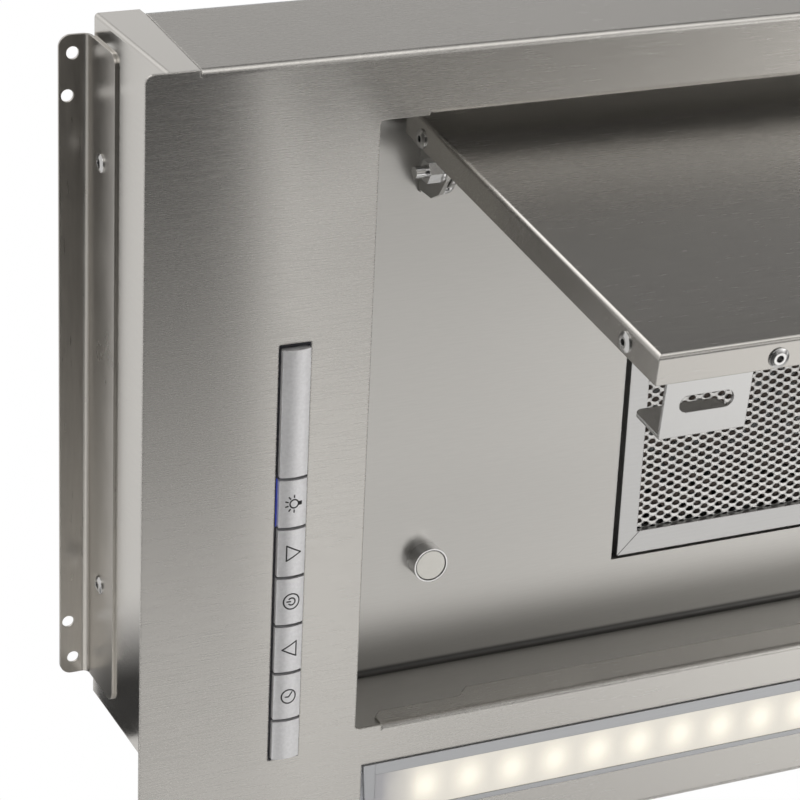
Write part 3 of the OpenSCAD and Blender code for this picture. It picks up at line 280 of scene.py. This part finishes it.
def plastic(name, colour, roughness, grain=900.0, bump=0.05, metallic=0.0, speck=0.05):
    material, tree, shader, place = blank_material(name)
    fine = noise(tree, place, (grain, grain, grain), 2.0)
    broad = noise(tree, place, (14, 14, 14), 2.0)
    gain = math_node(tree, "MULTIPLY", spread(tree, fine, 1 - speck, 1 + speck),
                     spread(tree, broad, 0.96, 1.04))
    tree.links.new(tinted(tree, colour, gain), shader.inputs["Base Color"])
    tree.links.new(spread(tree, broad, roughness - GLOSS_SPREAD, roughness + GLOSS_SPREAD),
                   shader.inputs["Roughness"])
    shader.inputs["Metallic"].default_value = metallic
    tree.links.new(relief_of(tree, fine, bump, PLASTIC_EDGE), shader.inputs["Normal"])
    return material


silver_paint = plastic("silver_button_paint", (0.75, 0.75, 0.77), 0.38, metallic=0.6, speck=0.07)
black_plastic = plastic("black_bezel_plastic", (0.012, 0.012, 0.02), 0.35)
dark_plastic = plastic("glass_filled_plastic", (0.05, 0.052, 0.056), 0.5, bump=0.12)
pale_plastic = plastic("pale_box_plastic", (0.72, 0.72, 0.70), 0.45)
rubber = plastic("bush_rubber", (0.02, 0.02, 0.02), 0.75, bump=0.2)
icon_ink = plastic("icon_ink", (0.02, 0.02, 0.022), 0.5)
board_green = plastic("solder_mask", (0.02, 0.13, 0.05), 0.4, grain=250.0, speck=0.3)
print("plastics ready")

# %% [markdown]
# ## The lit parts
# The milky cover of the light bar glows evenly, with a brighter spot over each diode. The spots repeat
# along X at the diode pitch, so the distance to the nearest whole pitch gives them, and a bell curve of that
# distance fades each one. The glow ends past the last diode. The clear strip beside the light button glows
# blue.

# %% Milky cover and indicator
DIODE_PITCH = 16.667 * MM
DIODES = 39
FIRST_DIODE = plate_high.x - 104.4 * MM
LAST_DIODE = FIRST_DIODE - (DIODES - 1) * DIODE_PITCH
SPOT_X, SPOT_Y = 4.9 * MM, 5.6 * MM
GLOW, SPOT_GLOW = 0.40, 0.34
GLOW_FADE = 0.8
cover_low, cover_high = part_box("light_diffuser")
DIODE_Y = (cover_low.y + cover_high.y) / 2


def glowing_cover():
    material, tree, shader, place = blank_material("milky_cover")
    axes = add(tree, "ShaderNodeSeparateXYZ", {0: place}).outputs
    along = math_node(tree, "DIVIDE", math_node(tree, "SUBTRACT", axes[0], LAST_DIODE), DIODE_PITCH)
    nearest = math_node(tree, "SUBTRACT", along, math_node(tree, "ROUND", along))
    dx = math_node(tree, "MULTIPLY", nearest, DIODE_PITCH / SPOT_X)
    dy = math_node(tree, "DIVIDE", math_node(tree, "SUBTRACT", axes[1], DIODE_Y), SPOT_Y)
    far = math_node(tree, "ADD", math_node(tree, "MULTIPLY", dx, dx), math_node(tree, "MULTIPLY", dy, dy))
    lit = add(tree, "ShaderNodeMapRange", {"Value": along, "From Min": DIODES, "From Max": DIODES - GLOW_FADE,
                                           "To Min": 0.0, "To Max": 1.0}).outputs[0]
    glow = math_node(tree, "ADD", math_node(tree, "MULTIPLY", bell(tree, far), SPOT_GLOW), GLOW)
    strength = math_node(tree, "MULTIPLY", glow, lit)
    cloudy = spread(tree, noise(tree, place, (300, 300, 300)), 0.98, 1.02)
    tree.links.new(tinted(tree, (0.48, 0.48, 0.51), cloudy), shader.inputs["Base Color"])
    shader.inputs["Roughness"].default_value = 0.35
    shader.inputs["Emission Color"].default_value = (1.0, 0.92, 0.71, 1.0)
    tree.links.new(strength, shader.inputs["Emission Strength"])
    return material


def glowing_strip():
    material, tree, shader, place = blank_material("blue_indicator")
    fine = spread(tree, noise(tree, place, (200, 200, 200)), 0.9, 1.1)
    tree.links.new(tinted(tree, (0.03, 0.05, 0.32), fine), shader.inputs["Base Color"])
    shader.inputs["Roughness"].default_value = 0.2
    shader.inputs["Emission Color"].default_value = (0.08, 0.12, 1.0, 1.0)
    shader.inputs["Emission Strength"].default_value = 0.16
    return material


milky_cover = glowing_cover()
blue_indicator = glowing_strip()
diode_board = plastic("diode_board", (0.85, 0.83, 0.75), 0.4)
print("lit parts ready;", DIODES, "diodes from", round(FIRST_DIODE, 4), "to", round(LAST_DIODE, 4))

# %% [markdown]
# ## Dressing the CAD nodes
# A CAD node whose shape is right keeps its mesh and takes a finish. The lists below follow how the hood
# is made: stainless for what the cook sees, galvanised sheet above it, zinc-plated small parts.

# %% Give each node its finish
FINISHES = {
    stainless: ["face_plate", "front_wall"],
    side_steel: ["end_cap_left", "end_cap_right"],
    pan_steel: ["recess_pan", "hinge_bracket_left", "hinge_bracket_right"],
    bracket_metal: ["bracket_left", "bracket_right"],
    striker_metal: ["striker_left", "striker_right"],
    galvanised: ["top_cover", "blower_housing", "scroll_wrapper", "scroll_side_left", "scroll_side_right",
                 "motor_spider"],
    panel_steel: ["panel_tray", "panel_liner"],
    zinc: ["bracket_rivets", "panel_rivets", "hinge_arm_left", "hinge_arm_right",
           "hinge_bolts", "hinge_nuts", "hinge_screws",
           "magnet_holders", "housing_screws", "motor_shaft"],
    filter_metal: ["filter_frame_left", "filter_frame_right", "filter_mesh_left", "filter_mesh_right"],
    profile_metal: ["light_profile", "light_end_caps"],
    cast_metal: ["motor"],
    magnet_face: ["magnets"],
    silver_paint: ["badge_plate", "end_blank", "light_button", "faster_button", "power_button",
                   "slower_button", "timer_button"],
    black_plastic: ["control_bezel"],
    dark_plastic: ["filter_latch_left", "filter_latch_right", "impeller", "duct_spigot", "flap_front",
                   "flap_rear", "cable_gland"],
    pale_plastic: ["control_box", "control_box_lid"],
    rubber: ["motor_bushes"],
    board_green: ["control_board", "driver_board"],
    milky_cover: ["light_diffuser"],
    blue_indicator: ["indicator_lens"],
    diode_board: ["light_strip"],
}


def dress(obj, material):
    obj.data.materials.clear()
    obj.data.materials.append(material)


for material, names in FINISHES.items():
    for name in names:
        dress(nodes[name], material)
undressed = sorted(set(nodes) - {n for names in FINISHES.values() for n in names})
print("dressed", len(nodes) - len(undressed), "nodes; left over:", undressed)

# %% [markdown]
# ## Making a piece from a bmesh
# A new piece is written straight in hood coordinates, so its object stays at the origin.

# %% Piece helper
def piece_from(name, work, material, body):
    mesh = bpy.data.meshes.new(name)
    bmesh.ops.recalc_face_normals(work, faces=work.faces)
    work.to_mesh(mesh)
    work.free()
    made = bpy.data.objects.new(name, mesh)
    bpy.context.scene.collection.objects.link(made)
    dress(made, material)
    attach(made, body)
    return made


print("piece helper ready")

# %% [markdown]
# ## Icons on the buttons
# Each icon is printed on the crown of its button. It is drawn as short flat strokes on a grid of
# millimetres and laid on the crown, with its ink a few hundredths of a millimetre proud.

# %% Strokes
button_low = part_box("light_button")[0]
CAP_HALF = 4.75 * MM
CROWN_RISE = 0.9 * MM
CROWN_RADIUS = (CAP_HALF ** 2 + CROWN_RISE ** 2) / (2 * CROWN_RISE)
CROWN_Z = button_low.z
INK_PROUD, INK_SUNK = 0.03 * MM, 0.05 * MM
INK_STEP = 0.4


def on_crown(x, y, lift):
    sag = CROWN_RADIUS - math.sqrt(CROWN_RADIUS ** 2 - x ** 2)
    return Vector((strip_x + x, y, CROWN_Z + sag - lift))


def stroke(work, points, width, y_mid):
    for a, b in zip(points, points[1:]):
        a, b = Vector(a), Vector(b)
        steps = max(1, int((b - a).length / INK_STEP))
        side = Vector((-(b - a).y, (b - a).x)).normalized() * width / 2
        ends = (b - a).normalized() * width * 0.35
        a, b = a - ends, b + ends
        rows = []
        for k in range(steps + 1):
            p = a.lerp(b, k / steps)
            rows.append([(p + side * s) for s in (-1, 1)])
        for k in range(steps):
            corners = [rows[k][0], rows[k][1], rows[k + 1][1], rows[k + 1][0]]
            low = [work.verts.new(on_crown(c.x * MM, y_mid + c.y * MM, INK_PROUD)) for c in corners]
            high = [work.verts.new(on_crown(c.x * MM, y_mid + c.y * MM, -INK_SUNK)) for c in corners]
            work.faces.new(low)
            work.faces.new(high[::-1])
            for j in range(4):
                work.faces.new([low[j], low[(j + 1) % 4], high[(j + 1) % 4], high[j]])


def arc(cx, cy, r, start, end, count=28):
    return [(cx + r * math.cos(math.radians(start + (end - start) * k / count)),
             cy + r * math.sin(math.radians(start + (end - start) * k / count))) for k in range(count + 1)]


print("crown radius", round(CROWN_RADIUS, 4), "at z", round(CROWN_Z, 4))

# %% [markdown]
# The icons follow the usual signs: a lit bulb, two triangles for less and more air, the power sign and a
# clock for the delayed switch-off. The strip reads sideways, along Y, so the bulb lies with its cap to
# one side. Points are millimetres to the right and up as the cook sees them from below, and X runs the
# other way.

# %% Five icons
def ray(angle, near, far, cx=0.0):
    c, s = math.cos(math.radians(angle)), math.sin(math.radians(angle))
    return [(cx + near * c, near * s), (cx + far * c, far * s)]


def bulb():
    rays = [ray(90 + 36 * k, 2.2, 3.0, -0.1) for k in range(6)]
    cap = [[(1.3, y), (2.5, y)] for y in (-0.45, -0.15, 0.15, 0.45)]
    return [arc(-0.1, 0.0, 1.45, 25, 335)] + rays + cap


ICONS = {
    "light_button": bulb(),
    "faster_button": [[(-2.2, -2.7), (2.7, 0.0), (-2.2, 2.7), (-2.2, -2.7)]],
    "power_button": [arc(0, 0, 2.75, 0, 360), arc(0, 0, 1.25, -135, 135, 20), ray(180, 0.3, 1.6)],
    "slower_button": [[(2.2, -2.7), (-2.7, 0.0), (2.2, 2.7), (2.2, -2.7)]],
    "timer_button": [arc(0, 0, 2.5, 0, 360), [(-1.1, -0.1), (0, -0.15), (1.2, 1.5)]],
}
ICON_SHIFT = 0.25
STROKE_WIDTH = 0.48
for button, strokes in ICONS.items():
    low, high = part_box(button)
    work = bmesh.new()
    for points in strokes:
        stroke(work, [(-right - ICON_SHIFT, up) for right, up in points], STROKE_WIDTH, (low.y + high.y) / 2)
    icon = piece_from(button + "_icon", work, icon_ink, button)
    print(icon.name, len(icon.data.polygons), "faces")

# %% [markdown]
# ## Expanded metal of the grease filters
# The net is aluminium with a small opening every few millimetres, in columns that are staggered by half a
# pitch. So each opening sits in a six-sided cell. Thousands of them repeat: Geometry Nodes lay one cell on
# every point of a grid and shift every second column. A coarser net lies behind the front one, and its dark
# colour is painted shade. The frame has a solid pad where its bolt slides, and the points inside that pad
# are left out, because a net there would cut through the bolt.

# %% One cell of the net
COS_30 = math.cos(math.radians(30))
CELL_CORNERS = 12
LIP = 0.3
THROAT = 0.94
UPPER_STRETCH, LOWER_SQUEEZE = 0.6, -1.0


def net_cell(name, pitch, step, hole_x, hole_y, depth, flat=0.0):
    work = bmesh.new()
    reach = pitch / math.sqrt(3)
    stretch = step / (pitch * COS_30)
    rings = [[], [], []]
    for k in range(CELL_CORNERS):
        angle = math.radians(360 / CELL_CORNERS * k)
        edge = reach if k % 2 == 0 else reach * COS_30
        c, s = math.cos(angle), math.sin(angle)
        x, y = hole_x / 2 * c, hole_y / 2 * s * (1 + flat * (UPPER_STRETCH if s > 0 else LOWER_SQUEEZE))
        rings[0].append(work.verts.new((edge * c * stretch, edge * s, 0)))
        rings[1].append(work.verts.new((x, y, -depth * (LIP if s > 0 else -LIP))))
        rings[2].append(work.verts.new((x * THROAT, y * THROAT, depth)))
    for near, far in zip(rings, rings[1:]):
        for k in range(CELL_CORNERS):
            j = (k + 1) % CELL_CORNERS
            work.faces.new([near[k], far[k], far[j], near[j]])
    mesh = bpy.data.meshes.new(name)
    work.to_mesh(mesh)
    work.free()
    made = bpy.data.objects.new(name, mesh)
    bpy.context.scene.collection.objects.link(made)
    return made


print("net cell ready")

# %% [markdown]
# The cell has three rings: its six-sided rim, the lip of the opening, and a narrower throat behind it. One
# half of the lip stands proud and the other lies back, as a slit sheet does when it is pulled open.
#
# The node tree lays a grid of points and shifts its columns a quarter pitch up or down in turn. It drops
# the points over the bolt's pad, puts a cell on each that is left and turns the whole into one mesh.

# %% The net as Geometry Nodes
def net_tree(material):
    tree = bpy.data.node_groups.new("expanded_metal", "GeometryNodeTree")
    face = tree.interface
    for label in ("Width", "Length", "Pitch", "Step", "Notch X", "Notch Y", "Notch Half"):
        face.new_socket(label, in_out="INPUT", socket_type="NodeSocketFloat")
    face.new_socket("Cell", in_out="INPUT", socket_type="NodeSocketObject")
    face.new_socket("Centre", in_out="INPUT", socket_type="NodeSocketVector")
    face.new_socket("Geometry", in_out="OUTPUT", socket_type="NodeSocketGeometry")
    given = add(tree, "NodeGroupInput").outputs
    columns = math_node(tree, "FLOOR", math_node(tree, "DIVIDE", given["Width"], given["Step"]))
    rows = math_node(tree, "FLOOR", math_node(tree, "DIVIDE", given["Length"], given["Pitch"]))
    grid = add(tree, "GeometryNodeMeshGrid", {
        "Size X": math_node(tree, "MULTIPLY", math_node(tree, "SUBTRACT", columns, 1.0), given["Step"]),
        "Size Y": math_node(tree, "MULTIPLY", math_node(tree, "SUBTRACT", rows, 1.0), given["Pitch"]),
        "Vertices X": columns, "Vertices Y": rows}).outputs["Mesh"]
    index = add(tree, "GeometryNodeInputIndex").outputs[0]
    column = math_node(tree, "FLOOR", math_node(tree, "DIVIDE", index, rows))
    side = math_node(tree, "SUBTRACT", math_node(tree, "MODULO", column, 2.0), 0.5)
    shift = add(tree, "ShaderNodeCombineXYZ", {"Y": math_node(
        tree, "MULTIPLY", side, math_node(tree, "MULTIPLY", given["Pitch"], 0.5))})
    moved = add(tree, "GeometryNodeSetPosition", {"Geometry": grid, "Offset": shift.outputs[0]}).outputs[0]
    spot = add(tree, "GeometryNodeInputPosition").outputs[0]
    x, y, _ = add(tree, "ShaderNodeSeparateXYZ", {0: spot}).outputs
    off = math_node(tree, "ABSOLUTE", math_node(tree, "SUBTRACT", x, given["Notch X"]))
    beside = math_node(tree, "SUBTRACT", off, math_node(tree, "MULTIPLY", given["Step"], 0.5))
    beyond = math_node(tree, "SUBTRACT", y, math_node(tree, "MULTIPLY", given["Pitch"], 0.5))
    in_notch = math_node(tree, "MULTIPLY", math_node(tree, "LESS_THAN", beside, given["Notch Half"]),
                         math_node(tree, "LESS_THAN", beyond, given["Notch Y"]))
    moved = add(tree, "GeometryNodeDeleteGeometry", {"Geometry": moved, "Selection": in_notch}).outputs[0]
    cell = add(tree, "GeometryNodeObjectInfo", {"Object": given["Cell"]}).outputs["Geometry"]
    laid = add(tree, "GeometryNodeInstanceOnPoints", {"Points": moved, "Instance": cell}).outputs[0]
    real = add(tree, "GeometryNodeRealizeInstances", {"Geometry": laid}).outputs[0]
    placed = add(tree, "GeometryNodeTransform", {"Geometry": real, "Translation": given["Centre"]}).outputs[0]
    coated = add(tree, "GeometryNodeSetMaterial", {"Geometry": placed, "Material": material}).outputs[0]
    add(tree, "NodeGroupOutput", {"Geometry": coated})
    return tree


def set_input(modifier, label, value):
    for item in modifier.node_group.interface.items_tree:
        if item.item_type == "SOCKET" and item.in_out == "INPUT" and item.name == label:
            modifier[item.identifier] = value
            return
    raise KeyError(label)


def grown(name, tree, inputs):
    holder = bpy.data.objects.new(name + "_holder", bpy.data.meshes.new(name + "_holder"))
    bpy.context.scene.collection.objects.link(holder)
    modifier = holder.modifiers.new("grow", "NODES")
    modifier.node_group = tree
    for label, value in inputs.items():
        set_input(modifier, label, value)
    bpy.context.view_layer.update()
    graph = bpy.context.evaluated_depsgraph_get()
    mesh = bpy.data.meshes.new_from_object(holder.evaluated_get(graph))
    mesh.name = name
    made = bpy.data.objects.new(name, mesh)
    bpy.context.scene.collection.objects.link(made)
    bpy.data.objects.remove(holder)
    return made


net_metal = metal("net_aluminium", (0.75, 0.745, 0.735), 0.30, grain=(500, 500, 500), bump=0.0, edge=0.1 * MM)
# The inner net is aluminium like the front net; its near-black colour is painted shade inside the filter.
shaded_net_metal = metal("inner_net_aluminium_in_painted_shade", (0.12, 0.10, 0.09), 0.5, grain=(500, 500, 500), streak=0.10,
                   bump=0.0)
front_tree = net_tree(net_metal)
back_tree = net_tree(shaded_net_metal)
NET_PITCH, NET_STEP = 3.25 * MM, 3.0 * MM
INNER_PITCH, INNER_STEP = 5.4 * MM, 4.7 * MM
front_cell = net_cell("front_cell", NET_PITCH, NET_STEP, 2.95 * MM, 2.35 * MM, 0.35 * MM, 0.35)
back_cell = net_cell("back_cell", INNER_PITCH, INNER_STEP, 3.4 * MM, 2.8 * MM, 0.5 * MM)
print("net trees ready")

# %% [markdown]
# Each filter takes one front net and one inner net. The front net stands in for the plain sheet of the CAD
# model. The pad is a few millimetres larger than the bolt, ahead of it and on both sides.

# %% Lay the nets in both filters
PAD_AHEAD, PAD_BESIDE = 8.4 * MM, 5.4 * MM
FRONT_INSET, BACK_INSET = 0.2 * MM, 0.8 * MM
for side in ("left", "right"):
    low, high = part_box("filter_mesh_" + side)
    centre = (low + high) / 2
    width, length = high.x - low.x, high.y - low.y - NET_PITCH / 2
    latch_low, latch_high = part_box("filter_latch_" + side)
    notch = {"Notch X": (latch_low.x + latch_high.x) / 2 - centre.x,
             "Notch Y": latch_high.y + PAD_AHEAD - centre.y,
             "Notch Half": (latch_high.x - latch_low.x) / 2 + PAD_BESIDE}
    front = grown("filter_net_" + side, front_tree, {
        "Width": width, "Length": length, "Pitch": NET_PITCH, "Step": NET_STEP, "Cell": front_cell,
        "Centre": (centre.x, centre.y, low.z + FRONT_INSET), **notch})
    back = grown("filter_inner_net_" + side, back_tree, {
        "Width": width, "Length": length, "Pitch": INNER_PITCH, "Step": INNER_STEP, "Cell": back_cell,
        "Centre": (centre.x, centre.y, high.z - BACK_INSET), **notch})
    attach(front, "hood")
    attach(back, "hood")
    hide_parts("filter_mesh_" + side)
    print(front.name, len(front.data.polygons), "faces;", back.name, len(back.data.polygons), "faces")
for cell in (front_cell, back_cell):
    bpy.data.objects.remove(cell)

# %% [markdown]
# ## Floor
# A plain pale floor lies well below the hood. The camera sees it white, and it still takes the shadow.

# %% Floor
FLOOR_Z = -1.65
FLOOR_WHITE = 0.85


def floor_material():
    material = bpy.data.materials.new("pale_floor")
    material.use_nodes = True
    tree = material.node_tree
    tree.nodes.clear()
    place = add(tree, "ShaderNodeTexCoord").outputs["Object"]
    speck = spread(tree, noise(tree, place, (30, 30, 30)), 0.99, 1.01)
    lit = add(tree, "ShaderNodeBsdfDiffuse", {"Color": tinted(tree, (0.86, 0.86, 0.85), speck)})
    white = add(tree, "ShaderNodeEmission", {"Color": (1, 1, 1, 1), "Strength": 1.0})
    seen = add(tree, "ShaderNodeLightPath").outputs["Is Camera Ray"]
    part = math_node(tree, "MULTIPLY", seen, FLOOR_WHITE)
    mixed = add(tree, "ShaderNodeMixShader", {0: part, 1: lit.outputs[0], 2: white.outputs[0]})
    add(tree, "ShaderNodeOutputMaterial", {"Surface": mixed.outputs[0]})
    return material


def flat_sheet(name, centre, size):
    mesh = bpy.data.meshes.new(name)
    corners = [Vector(centre) + Vector((x * size[0] / 2, y * size[1] / 2, 0))
               for x, y in ((-1, -1), (1, -1), (1, 1), (-1, 1))]
    mesh.from_pydata(corners, [], [(0, 1, 2, 3)])
    made = bpy.data.objects.new(name, mesh)
    bpy.context.scene.collection.objects.link(made)
    return made


floor = flat_sheet("studio_floor", (0, 0, FLOOR_Z), (14, 14))
dress(floor, floor_material())
floor.visible_glossy = False
print("floor at", FLOOR_Z)

# %% [markdown]
# ## Studio
# Brushed steel shows its surroundings more than its own colour. So the studio is built for the reflections.
# A large board lies under the hood, and soft patches on it stand for the bright and dark zones of a room.
# Two smaller flags, dark cards as a photographer uses, hang nearer. One makes the dark end of the face
# plate, with a bright rim before it. The other shades the front end of the side wall. All were placed by
# comparing renders with the photograph, and only gloss sees them. The floor and the world stay white to
# the camera.

# %% Board below the hood
# Soft patches on the board: centre x, y, half width, half depth, gain. The board is nearly black between
# them, and it turns bright again far from its middle, where the horizon of the room would be.
PATCHES = [
    (0.08, -0.55, 0.21, 0.52, 0.92),
    (-0.585, -0.565, 0.555, 0.365, 1.68),
    (-0.16, 0.03, 0.22, 0.18, -1.30),
    (-0.76, 0.33, 0.46, 0.21, 3.40),
    (-0.14, 0.20, 0.22, 0.12, 0.90),
    (-0.40, 0.95, 0.80, 0.52, 0.28),
    (0.62, 1.10, 0.38, 0.34, 2.40),
    (0.95, -0.82, 0.35, 0.20, 2.70),
]
BOARD_TONE = 0.035
BOARD_MIDDLE = (-0.1, -0.3)
OUTER_RING = (1.6, 2.1)
OUTER_TONE = 1.6
DARKEST, BRIGHTEST = 0.03, 3.0
# The first flag starts with its bright rim, turns dark along X and fades in along Y.
FLAG_TONE, FLAG_RIM_TONE = 0.03, 1.6
FLAG_START, FLAG_RIM, FLAG_DARK = 0.256, 0.277, 0.283
FLAG_RIM_PART = 0.75
FLAG_FADE = (-0.36, 0.05)
END_FLAG_TONE = 0.04
END_FLAG_FADE = (-0.131, -0.092)
WARM_WHITE = (1.0, 0.985, 0.96, 1)


def reflected_card(name, tone_of):
    material = bpy.data.materials.new(name)
    material.use_nodes = True
    tree = material.node_tree
    tree.nodes.clear()
    place = add(tree, "ShaderNodeTexCoord").outputs["Object"]
    x, y, _ = add(tree, "ShaderNodeSeparateXYZ", {0: place}).outputs
    tone, opacity = tone_of(tree, x, y)
    lit = add(tree, "ShaderNodeEmission", {"Color": WARM_WHITE, "Strength": tone})
    clear = add(tree, "ShaderNodeBsdfTransparent")
    mixed = add(tree, "ShaderNodeMixShader", {0: opacity, 1: clear.outputs[0], 2: lit.outputs[0]})
    add(tree, "ShaderNodeOutputMaterial", {"Surface": mixed.outputs[0]})
    return material


def squared(tree, value, middle, reach=1.0):
    scaled = math_node(tree, "DIVIDE", math_node(tree, "SUBTRACT", value, middle), reach)
    return math_node(tree, "MULTIPLY", scaled, scaled)


def board_tone(tree, x, y):
    tone = BOARD_TONE
    for cx, cy, wide, deep, gain in PATCHES:
        far = math_node(tree, "ADD", squared(tree, x, cx, wide), squared(tree, y, cy, deep))
        tone = math_node(tree, "ADD", math_node(tree, "MULTIPLY", bell(tree, far), gain), tone)
    from_middle = math_node(tree, "SQRT", math_node(tree, "ADD", squared(tree, x, BOARD_MIDDLE[0]),
                                                    squared(tree, y, BOARD_MIDDLE[1])))
    tone = math_node(tree, "ADD", tone, ramp(tree, from_middle, *OUTER_RING, 0.0, OUTER_TONE))
    return math_node(tree, "MINIMUM", math_node(tree, "MAXIMUM", tone, DARKEST), BRIGHTEST), 1.0


def flag_tone(tree, x, y):
    tone = ramp(tree, x, FLAG_RIM, FLAG_DARK, FLAG_RIM_TONE, FLAG_TONE)
    edge = math_node(tree, "ADD", ramp(tree, x, FLAG_START, FLAG_RIM, 0.0, FLAG_RIM_PART),
                     ramp(tree, x, FLAG_RIM, FLAG_DARK, 0.0, 1.0 - FLAG_RIM_PART))
    return tone, math_node(tree, "MULTIPLY", edge, ramp(tree, y, *FLAG_FADE, 0.0, 1.0))


def end_tone(tree, x, y):
    return END_FLAG_TONE, ramp(tree, y, *END_FLAG_FADE, 1.0, 0.0)


for name, centre, size, tone_of in (("reflected_board", (0, 0, -1.05), (5, 5), board_tone),
                                    ("dark_flag", (0.7375, -0.06, -0.33), (0.925, 0.68), flag_tone),
                                    ("dark_end_flag", (0.48, -0.122, 0.012), (0.10, 0.060), end_tone)):
    sheet = flat_sheet(name, centre, size)
    dress(sheet, reflected_card(name, tone_of))
    for hidden in ("visible_camera", "visible_diffuse", "visible_shadow", "visible_transmission"):
        setattr(sheet, hidden, False)
print("board and flags ready")

# %% [markdown]
# ## The room
# The world stands for the walls and the ceiling. Gloss sees soft lobes in it, some brighter and some darker
# than the room. A lobe is the dot product with its own direction, raised to a power, and a higher power
# makes it narrower. Diffuse rays see one even tone instead, and the camera sees plain white.

# %% World
# Each lobe: direction, how narrow, gain on the room's tone.
ROOM_TONE = 0.66
AMBIENT = 0.55
ROOM_WHITE = (1.0, 0.985, 0.965, 1)
LOBES = [
    ((0.15, 0.69, 0.69), 45.0, 2.6),
    ((0.45, 0.44, 0.78), 40.0, 0.8),
    ((-0.40, 0.825, -0.40), 30.0, 1.8),
    ((-0.40, 0.67, 0.63), 9.0, -0.69),
    ((-0.40, 0.32, 0.86), 24.0, 0.35),
    ((-0.92, -0.40, -0.08), 14.0, -0.60),
    ((0.40, -0.40, 0.82), 8.0, 0.14),
]


def studio_world():
    world = bpy.data.worlds.new("studio")
    bpy.context.scene.world = world
    world.use_nodes = True
    tree = world.node_tree
    tree.nodes.clear()
    path = add(tree, "ShaderNodeLightPath").outputs
    direction = add(tree, "ShaderNodeTexCoord").outputs["Generated"]
    tone = ROOM_TONE
    for centre, narrow, gain in LOBES:
        aim = Vector(centre).normalized()
        toward = add(tree, "ShaderNodeVectorMath", {0: direction, 1: aim},
                     operation="DOT_PRODUCT").outputs["Value"]
        lobe = math_node(tree, "POWER", math_node(tree, "MAXIMUM", toward, 0.0), narrow)
        tone = math_node(tree, "ADD", math_node(tree, "MULTIPLY", lobe, gain), tone)
    ambient = add(tree, "ShaderNodeBackground", {"Color": ROOM_WHITE, "Strength": AMBIENT})
    gloss = add(tree, "ShaderNodeBackground", {"Color": ROOM_WHITE, "Strength": tone})
    white = add(tree, "ShaderNodeBackground", {"Color": (1, 1, 1, 1), "Strength": 1.0})
    reflected = add(tree, "ShaderNodeMixShader", {0: path["Is Glossy Ray"], 1: ambient.outputs[0],
                                                  2: gloss.outputs[0]})
    shown = add(tree, "ShaderNodeMixShader", {0: path["Is Camera Ray"], 1: reflected.outputs[0],
                                              2: white.outputs[0]})
    add(tree, "ShaderNodeOutputWorld", {"Surface": shown.outputs[0]})


studio_world()
print("world ready")

# %% [markdown]
# ## Lamps
# Three large area lamps, from below, from the side and from above, give a soft light with a direction. They
# are hidden from gloss, because a bright rectangle would show in the steel.

# %% Lamps
LAMP_WHITE = (1.0, 0.98, 0.95)


def lamp(name, position, target, size, power):
    light = bpy.data.lights.new(name, "AREA")
    light.shape = "RECTANGLE"
    light.size, light.size_y = size
    light.energy = power
    light.color = LAMP_WHITE
    made = bpy.data.objects.new(name, light)
    bpy.context.scene.collection.objects.link(made)
    made.location = position
    made.rotation_mode = "QUATERNION"
    made.rotation_quaternion = (Vector(target) - Vector(position)).to_track_quat("-Z", "Y")
    made.visible_glossy = False
    return made


lamp("lamp_below", (-0.9, -1.1, -1.3), (0.1, 0.0, -0.1), (1.2, 0.8), 8)
lamp("lamp_side", (1.9, 0.2, -0.2), (0.3, 0.0, -0.05), (0.8, 1.2), 6)
lamp("lamp_top", (-0.6, -1.2, 1.6), (0, 0, 0), (1.6, 1.2), 16)
print("lamps ready")

# %% [markdown]
# ## Camera
# The camera was fitted to the edges and holes of the hood: it stands below and behind the right-hand
# corner and looks up. Its right, up and back directions become the columns of its matrix. The fit gave the
# focal length in pixels of a square picture, and the sensor's width turns it into millimetres.

# %% Camera
camera_data = bpy.data.cameras.new("camera")
camera_data.sensor_width = 36.0
FOCAL_PIXELS, PHOTO_PIXELS = 3019.398, 800
camera_data.lens = FOCAL_PIXELS / PHOTO_PIXELS * camera_data.sensor_width
camera_data.clip_start = 0.05
camera_data.clip_end = 60.0
camera = bpy.data.objects.new("camera", camera_data)
bpy.context.scene.collection.objects.link(camera)
POSITION = (0.727705, 0.394020, -0.870586)
right = Vector((-0.90813628, 0.04268999, -0.41649258))
up = Vector((-0.13189648, 0.91496266, 0.38137468))
back = Vector((0.39735604, 0.40127408, -0.82528013))
turn = Matrix((right, up, back)).transposed().to_4x4()
camera.matrix_world = Matrix.Translation(POSITION) @ turn
bpy.context.scene.camera = camera
view = bpy.context.scene.view_settings
view.view_transform = "Standard"
print("camera lens", round(camera_data.lens, 2), "mm")
